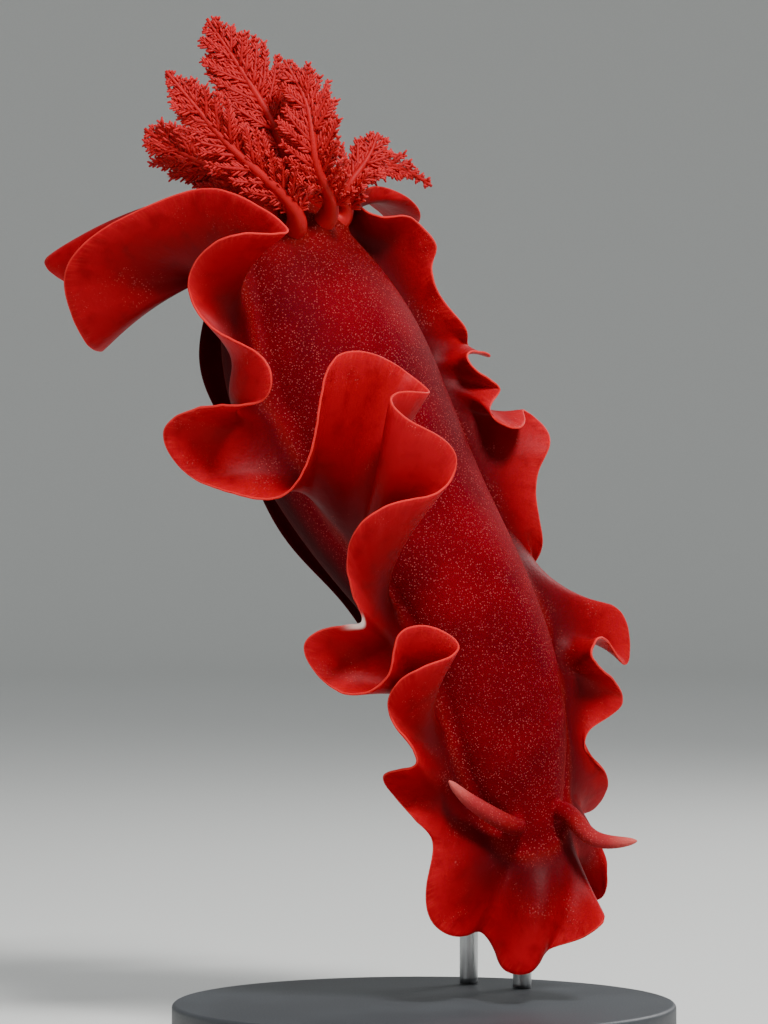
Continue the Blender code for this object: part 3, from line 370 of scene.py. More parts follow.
def meshObject(name, points, faces):
    mesh = bpy.data.meshes.new(name)
    mesh.from_pydata(toWorld(points).tolist(), [], faces)
    bm = bmesh.new()
    bm.from_mesh(mesh)
    bmesh.ops.recalc_face_normals(bm, faces=bm.faces)
    bm.to_mesh(mesh)
    bm.free()
    mesh.shade_smooth()
    piece = bpy.data.objects.new(name, mesh)
    bpy.context.scene.collection.objects.link(piece)
    return piece


def ringOf(here, wide, thick, circle, across, deep):        # an oval ring of points
    return here + wide * (np.cos(circle) * across)[:, None] + thick * (np.sin(circle) * deep)[:, None]


def tube(rings, firstTip=None, lastTip=None):        # quads through rings of equal count, fans at the ends
    rings = [np.asarray(r, float) for r in rings]
    count = len(rings[0])
    points = [p for ring in rings for p in ring]
    faces = []
    for r in range(len(rings) - 1):
        for k in range(count):
            a = r * count + k
            b = r * count + (k + 1) % count
            faces.append((a, b, b + count, a + count))
    points += [firstTip if firstTip is not None else rings[0].mean(axis=0),
               lastTip if lastTip is not None else rings[-1].mean(axis=0)]
    last = (len(rings) - 1) * count
    for k in range(count):
        faces.append((len(points) - 2, (k + 1) % count, k))
        faces.append((len(points) - 1, last + k, last + (k + 1) % count))
    return np.array(points), faces


def buildTrunk(t):
    stations = np.linspace(0.0, trunkLength, t["rings"])
    angles = np.arange(t["sides"]) * 360.0 / t["sides"]
    rings = [skinAt(np.full(t["sides"], s), angles) for s in stations]
    points, faces = tube(rings, trunkAt(0.0)[:3], trunkAt(trunkLength)[:3])
    marks = fleshMarks(len(points), 0.0)
    belly = eased(t["bellyFrom"], t["bellyFull"], np.minimum(angles, 360.0 - angles))
    marks[:-2, 3] = np.tile(belly, t["rings"])
    return points, faces, marks


foot = {"first": 8.0, "last": 232.0, "thick": 3.0, "halfAngle": 34.0, "margin": 4.0, "wave": 1.6,
        "waveLength": 8.0, "lift": 1.5, "flap": 11.0, "turnOut": 2.0, "fan": 12.0, "fanAt": 46.0,
        "fanLong": 22.0, "columns": 200, "across": 41, "sunk": 0.6}


def buildFoot(f):        # the creeping sole on the belly, its free margins standing off
    under = []
    over = []
    share = np.linspace(-1.0, 1.0, f["across"])
    for s in np.linspace(f["first"], f["last"], f["columns"]):
        along = (s - f["first"]) / (f["last"] - f["first"])
        swell = math.sin(math.pi * min(max(along, 0.02), 0.98)) ** 0.6
        spread = f["halfAngle"] * (0.6 + 0.4 * swell)
        wave = f["wave"] * swell * math.sin(s / f["waveLength"])
        fan = f["fan"] * math.exp(-((s - f["fanAt"]) / f["fanLong"]) ** 2)
        lift = f["lift"] + f["margin"] * swell
        here = np.full(f["across"], s)
        inner = skinAt(here, 180.0 + share * spread, -f["sunk"])
        outer = skinAt(here, 180.0 + share * (spread + f["turnOut"]),
                       seam + f["thick"] * (1.0 - 0.35 * np.abs(share) ** 3))
        flaps = []
        for row, turn, rise in ((0, -1.0, lift - wave), (-1, 1.0, lift + wave + fan)):
            end = 180.0 + turn * (spread + f["flap"])
            top = skinAt(s, end, rise)
            bottom = skinAt(s, end - turn * f["turnOut"], rise + 1.0)
            flaps.append([(inner[row] * (1 - k) + top * k, outer[row] * (1 - k) + bottom * k)
                          for k in (0.33, 0.66, 1.0)])
        over.append(np.concatenate([[r[0] for r in flaps[0][::-1]], inner, [r[0] for r in flaps[1]]]))
        under.append(np.concatenate([[r[1] for r in flaps[0][::-1]], outer, [r[1] for r in flaps[1]]]))
    upper = np.array(over)
    lower = np.array(under)
    columns, rows = upper.shape[:2]
    points = np.concatenate([upper.reshape(-1, 3), lower.reshape(-1, 3)])
    low = columns * rows
    faces = []
    for i in range(columns - 1):
        for j in range(rows - 1):
            a = i * rows + j
            faces.append((a, a + rows, a + rows + 1, a + 1))
            faces.append((low + a, low + a + 1, low + a + rows + 1, low + a + rows))
    rim = [i * rows for i in range(columns)] + [(columns - 1) * rows + j for j in range(1, rows)]
    rim += [i * rows + rows - 1 for i in range(columns - 2, -1, -1)] + list(range(rows - 2, 0, -1))
    for k, a in enumerate(rim):
        b = rim[(k + 1) % len(rim)]
        faces.append((a, low + a, low + b, b))
    return points, faces, fleshMarks(len(points), 1.0)


def stalkRings(station, angle, bends, radiusAt, sides, steps, rise=3.0, flat=None, plane=None, sunk=0.0):
    station = np.float64(station)
    angle = np.float64(angle)
    _, _, normal = skinAxes(station, angle)
    base = skinAt(station, angle, seam)
    marks = np.concatenate([[base, base + normal * rise], np.asarray(bends, float)])
    knots = runningLength(marks)
    path = smoothCurve(knots, marks)
    reach = knots[-1]
    circle = np.arange(sides) * 2.0 * math.pi / sides
    rings = []
    wide = None
    for share in np.linspace(0.0, 1.0, steps + 1):
        here = path(share * reach)
        heading = unit(path(min(share + 0.01, 1.0) * reach) - path(max(share - 0.01, 0.0) * reach))
        if share == 0.0:
            heading = normal
            here = here - normal * sunk
        if plane is not None:
            wide = unit(np.cross(np.asarray(plane, float), heading))
        elif wide is None:
            wide = unit(np.cross(heading, np.array([0.3, 0.2, 1.0])))
        else:
            wide = unit(wide - heading * np.dot(wide, heading))
        thick = unit(np.cross(heading, wide))
        r = radiusAt(share)
        thin = r if flat is None else max(r * flat(share), 0.35)
        rings.append(ringOf(here, wide, thick, circle, r, thin))
    return rings, path, reach


feelers = (
    {"station": 238.0, "angle": -128.0, "bends": ((44.0, 50.0, -20.0), (40.0, 42.0, -26.0)),
     "halfWide": 5.5, "plane": (0.3, 0.0, 1.0)},
    {"station": 238.0, "angle": 140.0, "bends": ((78.0, 52.0, -30.0), (84.0, 44.0, -36.0)),
     "halfWide": 5.5, "plane": (-0.3, 0.0, 1.0)},
)


def feeler(f):        # a broad soft paddle beside the mouth
    def radiusAt(share):
        swell = 0.55 + 0.45 * math.sin(math.pi * share)
        return f["halfWide"] * swell * math.sqrt(max(1.0 - 0.9 * share ** 5, 0.05))

    rings, _, _ = stalkRings(f["station"], f["angle"], f["bends"], radiusAt, 28, 26, rise=2.0,
                             flat=lambda s: 0.8 - 0.45 * s, plane=f["plane"], sunk=1.5)
    points, faces = tube(rings)
    return points, faces, fleshMarks(len(points), 1.0)


mouth = {
    "station": 243.0, "angle": 180.0, "sides": 48, "puckers": 9.0,
    "profile": (        # radius and rise from the outer root of the lips to their inner edge
        (4.2, -1.5), (4.8, 0.6), (4.6, 1.6), (3.8, 2.6), (2.8, 2.9), (1.8, 2.5), (1.0, 1.6),
    ),
}


def lips():        # puckered lips round a shallow mouth
    station = np.float64(mouth["station"])
    angle = np.float64(mouth["angle"])
    _, _, normal = skinAxes(station, angle)
    base = skinAt(station, angle, seam)
    wide = unit(np.cross(normal, np.array([1.0, 0.0, 0.0])))
    tall = np.cross(normal, wide)
    circle = np.arange(mouth["sides"]) * 2.0 * math.pi / mouth["sides"]
    profile = smoothCurve(range(len(mouth["profile"])), mouth["profile"])
    rings = []
    for k in np.linspace(0.0, 6.0, 25):
        radius, rise = profile(k)
        pucker = 1.0 + 0.05 * np.cos(circle * mouth["puckers"]) * min(k / 3.0, 1.0)
        rings.append(base + wide * (np.cos(circle) * radius * pucker)[:, None]
                     + tall * (np.sin(circle) * radius * pucker)[:, None] + normal * rise)
    points, faces = tube(rings)
    return points, faces, fleshMarks(len(points), 1.0)


horns = (        # the two rhinophores: stout at the root, blunt at the tip
    {"station": 234.5, "angle": -29.0, "bends": ((46.7, 76.7, 20.0), (41.0, 81.0, 24.0), (36.3, 85.7, 26.0)),
     "root": 3.3, "taper": 0.6, "tip": 1.1},
    {"station": 236.5, "angle": 36.0, "bends": ((83.3, 67.3, 8.0), (90.7, 65.3, 12.0), (99.0, 65.7, 14.0)),
     "root": 3.3, "taper": 0.6, "tip": 1.1},
)
hornLeaves = {"count": 26, "height": 0.06, "from": 0.35, "full": 0.5}


def buildHorn(h):        # a smooth horn with faint leaves across its outer half
    def radiusAt(share):
        body = h["root"] - h["taper"] * share - (h["root"] - h["taper"] - h["tip"]) * share ** 3
        shown = eased(hornLeaves["from"], hornLeaves["full"], share) * (1.0 - share)
        leaves = hornLeaves["height"] * math.sin(share * hornLeaves["count"] * 2.0 * math.pi) * shown
        return (body + leaves) * math.sqrt(max(1.0 - share ** 20, 0.1))

    sides = 40
    steps = 110
    rings, _, _ = stalkRings(h["station"], h["angle"], drawnIn(h["bends"]), radiusAt, sides, steps,
                             rise=1.2, sunk=2.5)
    points, faces = tube(rings)
    marks = fleshMarks(len(points), 0.0)
    marks[:-2, 4] = np.repeat(np.linspace(0.0, 1.0, steps + 1), sides)
    marks[-1, 4] = 1.0
    return points, faces, marks


details = {
    "spread": 5, "hold": 0.86, "rounds": 34,        # how far and how often the creases are evened out
    "pocketRadius": 3.6, "pocketWide": 1.6, "pocketRise": 1.5,        # low rim round each gill's foot, mm
    "paintedHighlight": (8.0, 138.5, 46.5), "paintedHighlightReach": 6.5,        # a pale painted highlight on the crest of a fold at the margin
    "warmFrom": 0.235, "warmFull": 0.285, "warmMost": 0.8,        # metres up where the back turns browner
}


skinMarks = ("mantleShare", "edgeMm", "alongMm", "belly", "horn", "paintedHighlight", "warm")


def buildSkin():        # trunk, mantle, foot, feelers, horns and lips fused into one skin
    sources = [buildTrunk(trunk), buildMantle(mantle), buildFoot(foot)]
    sources += [feeler(f) for f in feelers] + [lips()]
    sources += [buildHorn(h) for h in horns]
    skin = meshObject("dancer_skin", sources[0][0], sources[0][1])
    group = bpy.data.collections.new("skinParts")
    bpy.context.scene.collection.children.link(group)
    parts = []
    for n, (points, faces, _) in enumerate(sources[1:]):
        part = meshObject(f"skinPart{n}", points, faces)
        bpy.context.scene.collection.objects.unlink(part)
        group.objects.link(part)
        parts.append(part)
    join = skin.modifiers.new("join", "BOOLEAN")
    join.operation = "UNION"
    join.operand_type = "COLLECTION"
    join.collection = group
    join.solver = "MANIFOLD"
    fused = bpy.data.meshes.new_from_object(skin.evaluated_get(bpy.context.evaluated_depsgraph_get()))
    skin.modifiers.remove(join)
    skin.data = fused
    for part in parts:
        bpy.data.objects.remove(part, do_unlink=True)
    bpy.data.collections.remove(group)
    print("skin fused:", len(fused.vertices), "points")

    allPoints = np.concatenate([toWorld(s[0]) for s in sources])
    allMarks = np.concatenate([s[2] for s in sources])
    kinds = np.concatenate([np.full(len(s[0]), n) for n, s in enumerate(sources)])
    tree = kdtree.KDTree(len(allPoints))
    for i, p in enumerate(allPoints):
        tree.insert(p, i)
    tree.balance()
    nearest = np.array([tree.find(v.co)[1] for v in fused.vertices])
    marks = shapeSkin(fused, allMarks[nearest], kinds[nearest])
    for k, name in enumerate(skinMarks):
        layer = fused.attributes.new(name, "FLOAT", "POINT")
        layer.data.foreach_set("value", marks[:, k].astype(np.float32))
    fused.shade_smooth()
    return skin


def spreadOver(values, edges, degree):        # the mean of each point's neighbours
    total = np.zeros(values.shape)
    np.add.at(total, edges[:, 0], values[edges[:, 1]])
    np.add.at(total, edges[:, 1], values[edges[:, 0]])
    return (total.T / degree).T


def shapeSkin(mesh, marks, kinds):        # rounds the creases, raises the gill pocket, marks the painted highlight
    d = details
    count = len(mesh.vertices)
    places = np.zeros(count * 3)
    mesh.vertices.foreach_get("co", places)
    places = places.reshape(-1, 3)
    edges = np.zeros(len(mesh.edges) * 2, int)
    mesh.edges.foreach_get("vertices", edges)
    edges = edges.reshape(-1, 2)
    degree = np.maximum(np.bincount(edges.ravel(), minlength=count), 1).astype(float)
    crossing = kinds[edges[:, 0]] != kinds[edges[:, 1]]
    weight = np.zeros(count)
    weight[edges[crossing].ravel()] = 1.0
    for _ in range(d["spread"]):
        around = np.minimum(spreadOver(weight, edges, degree) * 2.0, 1.0) * d["hold"]
        weight = np.maximum(weight, around)
    for _ in range(d["rounds"]):
        places += (spreadOver(places, edges, degree) - places) * (weight * 0.6)[:, None]
        marks += (spreadOver(marks, edges, degree) - marks) * (weight * 0.5)[:, None]

    onBack = (kinds == 0) & (marks[:, 3] < 0.1)
    rise = np.zeros(count)
    for row in gills["rows"]:
        foot = toWorld(skinAt(np.float64(row[1]), np.float64(row[2])))
        away = np.linalg.norm(places - foot, axis=1) * 1000.0
        rise = np.maximum(rise, np.exp(-((away - d["pocketRadius"]) / d["pocketWide"]) ** 2))
    normals = np.zeros(count * 3)
    mesh.vertices.foreach_get("normal", normals)
    places += normals.reshape(-1, 3) * (rise * onBack * d["pocketRise"] / 1000.0)[:, None]
    mesh.vertices.foreach_set("co", places.ravel())
    mesh.update()
    # where the pale painted highlight lies on the margin
    away = np.linalg.norm(places - toWorld(np.array(d["paintedHighlight"])), axis=1) * 1000.0
    paintedHighlight = np.exp(-(away / d["paintedHighlightReach"]) ** 4)
    browner = eased(d["warmFrom"], d["warmFull"], places[:, 2]) * d["warmMost"]
    warm = np.clip(rise * onBack + browner, 0.0, 1.0)
    return np.concatenate([marks, paintedHighlight[:, None], warm[:, None]], 1)


# Colours and finishes

def linear(hexCode):        # sRGB hex to a linear colour
    values = [int(hexCode[i:i + 2], 16) / 255 for i in (1, 3, 5)]
    return tuple(c / 12.92 if c <= 0.04045 else ((c + 0.055) / 1.055) ** 2.4 for c in values) + (1.0,)


def perMetre(millimetres):        # a texture's scale for a pattern this many millimetres across
    return 1000.0 / millimetres


def addNode(tree, kind, inputs=None, settings=None, stops=()):        # a node with its settings and links
    node = tree.nodes.new("ShaderNode" + kind)
    for key, value in (settings or {}).items():
        setattr(node, key, value)
    for k, (place, code) in enumerate(stops):        # a colour ramp's stops
        band = node.color_ramp.elements
        stop = band[k] if k < 2 else band.new(place)
        stop.position = place
        stop.color = linear(code)
    for key, value in (inputs or {}).items():
        if isinstance(value, bpy.types.Node):
            value = next(s for s in value.outputs if s.enabled)
        if isinstance(value, bpy.types.NodeSocket):
            tree.links.new(value, node.inputs[key])
        else:
            node.inputs[key].default_value = linear(value) if isinstance(value, str) else value
    return node


def newMaterial(name):        # an empty node tree and the place its patterns are laid out in
    m = bpy.data.materials.new(name)
    m.use_nodes = True
    m.node_tree.nodes.clear()
    return m, m.node_tree, addNode(m.node_tree, "TexCoord").outputs["Object"]


smooth = {"interpolation_type": "SMOOTHSTEP"}
mixed = {"data_type": "RGBA"}
times = {"operation": "MULTIPLY"}
fleshRadius = (1.0, 0.18, 0.1)        # red light travels furthest through flesh


def livingSkin():
    # wet living skin of a sea slug: velvety and finely speckled on the back, which takes the shine off it,
    # and a little glossier and brighter red toward the mantle's thin margin; darker toward the mantle's root
    # with painted shade
    m, tree, place = newMaterial("living slug skin")
    mark = {}
    for name in skinMarks:
        mark[name] = addNode(tree, "Attribute", settings={"attribute_name": name}).outputs["Fac"]
    toEdge = mark["edgeMm"]
    cloud, mottle, grain, wrinkle = (
        addNode(tree, "TexNoise", {"Vector": place, "Scale": perMetre(size), "Detail": detail})
        for size, detail in ((30.0, 2.0), (6.0, 3.0), (0.8, 2.0), (3.0, 3.0)))

    shade = addNode(tree, "MapRange", {"Value": cloud, "From Min": 0.3, "From Max": 0.7}, smooth)
    back = addNode(tree, "Mix", {0: shade, 6: "#54000a", 7: "#6e000e"}, mixed)
    warmth = addNode(tree, "Math", {0: mark["warm"], 1: 0.45}, times)
    back = addNode(tree, "Mix", {0: warmth, 6: back, 7: "#64120a"}, mixed)
    # the mantle sheet from root to margin: the dark near the root is painted shade in the crease where the
    # sheet leaves the body, the brighter red at the margin is the thin sheet's own colour
    sheet = addNode(tree, "ValToRGB", {"Fac": mark["mantleShare"]},
                    stops=((0.0, "#340004"), (0.4, "#600008"), (0.75, "#8c000d"), (1.0, "#a60013")))
    shade = addNode(tree, "MapRange",
                    {"Value": mottle, "From Min": 0.45, "From Max": 0.75, "To Max": 0.3}, smooth)
    sheet = addNode(tree, "Mix", {0: shade, 6: sheet, 7: "#4a0005"}, mixed)
    onSheet = addNode(tree, "MapRange",
                      {"Value": mark["mantleShare"], "From Min": 0.02, "From Max": 0.22}, smooth)
    colour = addNode(tree, "Mix", {0: onSheet, 6: back, 7: sheet}, mixed)
    # a painted orange-brown sheen in a band along the notum's edge, where the back rolls over into the
    # mantle
    paintedSheenBand = addNode(tree, "ValToRGB", {"Fac": mark["mantleShare"]},
                    stops=((0.0, "#000000"), (0.06, "#686868"), (0.16, "#000000")))
    colour = addNode(tree, "Mix", {0: paintedSheenBand, 6: colour, 7: "#82200c"}, mixed)
    # the belly, sole, feelers and lips are darkened to near black: painted shade of the shadowed underside
    colour = addNode(tree, "Mix", {0: mark["belly"], 6: colour, 7: "#300003"}, mixed)
    flush = addNode(tree, "ValToRGB", {"Fac": mark["horn"]},
                    stops=((0.0, "#56040a"), (0.3, "#7c1016"), (0.7, "#9c2a2e"), (1.0, "#c05a54")))
    onHorn = addNode(tree, "MapRange", {"Value": mark["horn"], "From Min": 0.04, "From Max": 0.3}, smooth)
    colour = addNode(tree, "Mix", {0: onHorn, 6: colour, 7: flush}, mixed)

    # pale grains a third of a millimetre wide: thick on the back, in drifts on the folds
    cells = addNode(tree, "TexVoronoi", {"Vector": place, "Scale": perMetre(0.8)})
    dots = addNode(tree, "MapRange",
                   {"Value": cells, "From Min": 0.1, "From Max": 0.36, "To Min": 1.0, "To Max": 0.0},
                   smooth)
    chance = addNode(tree, "SeparateColor", {"Color": cells.outputs["Color"]})
    lit = addNode(tree, "MapRange", {"Value": chance, "To Min": 0.3, "To Max": 1.0})
    dots = addNode(tree, "Math", {0: dots, 1: lit}, times)
    drift = addNode(tree, "TexNoise",
                    {"Vector": place, "Scale": perMetre(13.0), "Detail": 4.0, "Roughness": 0.6})
    thick = addNode(tree, "MapRange",
                    {"Value": drift, "From Min": 0.3, "From Max": 0.6, "To Min": 0.5, "To Max": 1.0},
                    smooth)
    thin = addNode(tree, "MapRange", {"Value": drift, "From Min": 0.52, "From Max": 0.68, "To Max": 0.85},
                   smooth)
    amount = addNode(tree, "Mix", {0: onSheet, 2: thick, 3: thin}, {"data_type": "FLOAT"})
    above = addNode(tree, "Math", {0: 1.0, 1: mark["belly"]}, {"operation": "SUBTRACT"})
    amount = addNode(tree, "Math", {0: amount, 1: above}, times)
    dots = addNode(tree, "Math", {0: dots, 1: amount}, times)
    tint = addNode(tree, "Math", {0: dots, 1: 0.6}, times)
    colour = addNode(tree, "Mix", {0: tint, 6: colour, 7: "#cc5c56"}, mixed)

    # faint streaks run out to the margin, and a hair-thin bright line edges it
    across = addNode(tree, "Math", {0: toEdge, 1: 0.1}, times)
    along = addNode(tree, "CombineXYZ", {"X": mark["alongMm"], "Y": across})
    streaks = addNode(tree, "TexNoise", {"Vector": along, "Scale": 1.1, "Detail": 2.0},
                      {"noise_dimensions": "2D"})
    streaks = addNode(tree, "MapRange", {"Value": streaks, "From Min": 0.45, "From Max": 0.75}, smooth)
    near = addNode(tree, "MapRange",
                   {"Value": toEdge, "From Min": 0.5, "From Max": 6.0, "To Min": 0.16, "To Max": 0.0},
                   smooth)
    streaks = addNode(tree, "Math", {0: streaks, 1: near}, times)
    colour = addNode(tree, "Mix", {0: streaks, 6: colour, 7: "#d83a34"}, mixed)
    rim = addNode(tree, "MapRange",
                  {"Value": toEdge, "From Min": 0.15, "From Max": 0.55, "To Min": 0.6, "To Max": 0.0},
                  smooth)
    colour = addNode(tree, "Mix", {0: rim, 6: colour, 7: "#d8302e"}, mixed)
    # a pale painted highlight on the crest of a fold near the margin
    paintedHighlightMask = addNode(tree, "MapRange",
                      {"Value": toEdge, "From Min": 1.2, "From Max": 3.2, "To Min": 1.0, "To Max": 0.0},
                      smooth)
    paintedHighlightMask = addNode(tree, "Math", {0: paintedHighlightMask, 1: mark["paintedHighlight"]}, times)
    colour = addNode(tree, "Mix", {0: paintedHighlightMask, 6: colour, 7: "#f8dcd4"}, mixed)

    height = addNode(tree, "Math", {0: grain, 1: 0.5, 2: dots}, {"operation": "MULTIPLY_ADD"})
    height = addNode(tree, "Math", {0: wrinkle, 1: 1.4, 2: height}, {"operation": "MULTIPLY_ADD"})
    bump = addNode(tree, "Bump", {"Strength": 0.45, "Distance": 0.0003, "Height": height})
    rough = addNode(tree, "MapRange", {"Value": onSheet, "To Min": 0.66, "To Max": 0.5})
    shine = addNode(tree, "MapRange", {"Value": onSheet, "To Min": 0.04, "To Max": 0.1})
    shader = addNode(tree, "BsdfPrincipled", {
        "Base Color": colour, "Roughness": rough, "Normal": bump, "IOR": 1.38, "Specular IOR Level": shine,
        "Subsurface Weight": 0.25, "Subsurface Radius": fleshRadius, "Subsurface Scale": 0.0015,
        "Sheen Weight": 0.07, "Sheen Roughness": 0.3, "Sheen Tint": "#ff4818"})
    addNode(tree, "OutputMaterial", {"Surface": shader})
    return m


# Gills

gills = {
    "rows": (        # foot on the back, the stem's bends and tip, half width of the plume
        ("gill_1", 22.0, -42.0, ((-39.0, 288.0, 12.0), (-55.5, 296.5, 8.0), (-65.0, 303.0, 2.0)), 8.5),
        ("gill_2", 28.5, -20.0, ((-34.0, 294.5, 28.0), (-47.0, 309.0, 30.0), (-58.0, 322.3, 28.0)), 9.0),
        ("gill_3", 20.0, -12.0, ((-18.5, 296.0, 10.0), (-30.0, 318.0, 4.0), (-44.3, 339.7, -4.0)), 11.5),
        ("gill_4", 27.0, 12.0, ((-7.5, 290.0, 22.0), (-10.5, 309.0, 22.0), (-18.7, 326.0, 18.0)), 9.5),
        ("gill_5", 25.0, 45.0, ((2.0, 281.0, -2.0), (8.5, 292.0, -4.0), (12.7, 301.7, -8.0)), 7.0),
        ("gill_6", 18.0, 27.0, ((3.0, 287.0, -15.0), (17.0, 291.0, -30.0), (30.5, 284.0, -40.0)), 5.0),
    ),
    "foot": 2.4, "tip": 0.55, "collar": 1.0, "collarReach": 0.12,        # the stem's radii, mm
    "bare": 0.1, "spacing": 3.0, "branch": 0.85, "spread": 0.62, "shortest": 2.4,
    "twig": 0.46, "twigSpacing": 1.45, "twigFirst": 0.9, "twigLong": 3.6,
    "rowTilts": (0.0, 0.9), "rowSizes": (1.0, 0.85),        # each side has a flat row and one leaning back
}


def spike(path, radii, sides):        # a filament through a few points, the last its blunt tip
    circle = np.arange(sides) * 2.0 * math.pi / sides
    wide = unit(np.cross(path[1] - path[0], np.array([0.31, 0.87, 0.38])))
    rings = []
    for i, radius in enumerate(radii):
        heading = unit(path[i + 1] - path[max(i - 1, 0)])
        wide = unit(wide - heading * np.dot(wide, heading))
        thick = np.cross(heading, wide)
        rings.append(ringOf(path[i], wide, thick, circle, radius, radius))
    return tube(rings, lastTip=path[-1])


def twigsOn(branch, reach, flank, front, draw, size):        # short blunt twigs in pairs along a branch
    g = gills
    made = []
    for t in range(int((reach - g["twigFirst"]) / g["twigSpacing"])):
        for side in (-1.0, 1.0):
            s = (g["twigFirst"] + (t + 0.3 + 0.4 * draw.random()) * g["twigSpacing"]) / reach
            if s > 0.97:
                continue
            at = branch(s * reach)
            ahead = unit(branch(min(s + 0.05, 1.0) * reach) - branch(max(s - 0.05, 0.0) * reach))
            out = unit(ahead * 0.8 + flank * side * g["spread"] + front * draw.uniform(-0.55, 0.55))
            length = draw.uniform(0.75, 1.2) * size * (1.1 - 0.62 * s)
            tips = np.array([at, at + out * length * 0.5, at + out * length * 0.9 + ahead * length * 0.08,
                             at + out * length + ahead * length * 0.1])
            made.append(spike(tips, (g["twig"], g["twig"] * 0.95, g["twig"] * 0.7), 6))
    return made


def buildGill(row, draw):
    name, station, angle, bends, halfWide = row
    g = gills

    def radiusAt(share):
        collar = g["collar"] * math.exp(-(share / g["collarReach"]) ** 2)
        return g["foot"] * (1.0 - share) ** 1.5 + g["tip"] + collar

    rings, path, reach = stalkRings(station, angle, drawnIn(bends), radiusAt, 20, 44, sunk=2.5)
    pieces = [tube(rings)]
    shades = [0.0]
    pairs = int(reach * (1.0 - g["bare"]) / g["spacing"])
    for k in range(pairs):
        for side in (-1.0, 1.0):
            for tilt, scale in zip(g["rowTilts"], g["rowSizes"]):
                along = (k + 0.5 + (0.4 if tilt else 0.0) + draw.uniform(-0.2, 0.2)) / (pairs + 0.4)
                share = g["bare"] + (0.985 - g["bare"]) * along
                here = path(share * reach)
                heading = unit(path(min(share + 0.02, 1.0) * reach) - path((share - 0.02) * reach))
                wide = unit(np.cross(np.array([0.0, 0.0, 1.0]), heading)) * side
                front = unit(np.cross(heading, wide)) * side
                turn = draw.uniform(-0.2, 0.3) - tilt
                lean = unit(heading * draw.uniform(0.72, 0.9) + wide * 0.7 + front * turn)
                length = halfWide / g["spread"] * scale * math.sin(math.pi * (0.16 + 0.8 * along) ** 0.8)
                length = max(length * draw.uniform(0.85, 1.12), g["shortest"])
                marks = np.array([here, here + lean * length * 0.3,
                                  here + lean * length * 0.62 + heading * length * 0.05,
                                  here + lean * length * 0.88 + heading * length * 0.12,
                                  here + lean * length + heading * length * 0.16])
                root = min(g["branch"], radiusAt(share) * 0.85)
                pieces.append(spike(marks, (root, root * 0.9, root * 0.75, root * 0.6), 8))
                shades.append(0.35)
                knots = runningLength(marks)
                flank = unit(np.cross(lean, front))
                size = g["twigLong"] * min(1.0, length / 9.0 + 0.2)
                twigs = twigsOn(smoothCurve(knots, marks), knots[-1], flank, front, draw, size)
                pieces += twigs
                shades += [0.75] * len(twigs)
    points = []
    faces = []
    tones = []
    start = 0
    for (p, f), shade in zip(pieces, shades):
        faces += [tuple(i + start for i in face) for face in f]
        points.append(p)
        tones.append(np.concatenate([np.full(len(p) - 1, shade), [min(shade + 0.35, 1.0)]]))
        start += len(p)
    piece = meshObject(name + "_plume", np.concatenate(points), faces)
    layer = piece.data.attributes.new("twigginess", "FLOAT", "POINT")
    layer.data.foreach_set("value", np.concatenate(tones).astype(np.float32))
    print(name, len(piece.data.polygons), "faces")
    return piece


def gillFlesh():
    # soft gill tissue: satin coral red, paler and clearer at its finest twigs
    m, tree, place = newMaterial("feathery gill tissue")
    tone = addNode(tree, "Attribute", settings={"attribute_name": "twigginess"}).outputs["Fac"]
    mottle = addNode(tree, "TexNoise", {"Vector": place, "Scale": perMetre(2.2), "Detail": 3.0})
    colour = addNode(tree, "ValToRGB", {"Fac": tone},
                     stops=((0.0, "#a8060e"), (0.35, "#a60810"), (0.75, "#b4161c"), (1.0, "#cc443e")))
    shade = addNode(tree, "MapRange",
                    {"Value": mottle, "From Min": 0.45, "From Max": 0.75, "To Max": 0.3}, smooth)
    colour = addNode(tree, "Mix", {0: shade, 6: colour, 7: "#78040a"}, mixed)
    bump = addNode(tree, "Bump", {"Strength": 0.35, "Distance": 0.0002, "Height": mottle})
    rough = addNode(tree, "MapRange", {"Value": mottle, "To Min": 0.5, "To Max": 0.64})
    shader = addNode(tree, "BsdfPrincipled", {
        "Base Color": colour, "Roughness": rough, "Normal": bump, "IOR": 1.38, "Specular IOR Level": 0.3,
        "Subsurface Weight": 0.35, "Subsurface Radius": fleshRadius, "Subsurface Scale": 0.0012})
    addNode(tree, "OutputMaterial", {"Surface": shader})
    return m


# Stand

board = {"radius": 84.0, "thick": 12.0, "chamfer": 1.5, "foot": 1.0, "footEase": 0.3, "sides": 160}


def buildBoard(b):        # a turned disc with soft edges
    circle = np.arange(b["sides"]) * 2.0 * math.pi / b["sides"]
    profile = [(b["radius"] - b["foot"], 0.0), (b["radius"] - b["footEase"], b["footEase"]),
               (b["radius"], b["foot"])]
    for k in range(0, 91, 15):
        a = math.radians(k)
        profile.append((b["radius"] - b["chamfer"] * (1 - math.cos(a)),
                        b["thick"] - b["chamfer"] * (1 - math.sin(a))))
    rings = []
    for r, up in profile:
        across = stage["standAcross"] + r * np.cos(circle)
        rings.append(np.stack([across, np.full(b["sides"], up), r * np.sin(circle)], -1))
    points, faces = tube(rings)
    return meshObject("stand_board", points, faces)


rods = (
    {"name": "stand_rod_rear", "station": 98.0, "knee": (14.0, 140.0, -66.0), "heel": (44.0, -58.0)},
    {"name": "stand_rod_front", "station": 176.0, "knee": (50.0, 82.0, -50.0), "heel": (62.0, -44.0)},
)
rodSizes = {"radius": 3.2, "pad": 7.5, "padEase": 0.5, "sides": 32, "leave": 6.0, "stand": 25.0,
            "padEnds": (0.002, 0.009, 0.012), "neckEnd": 0.03}        # shares of the rod's length


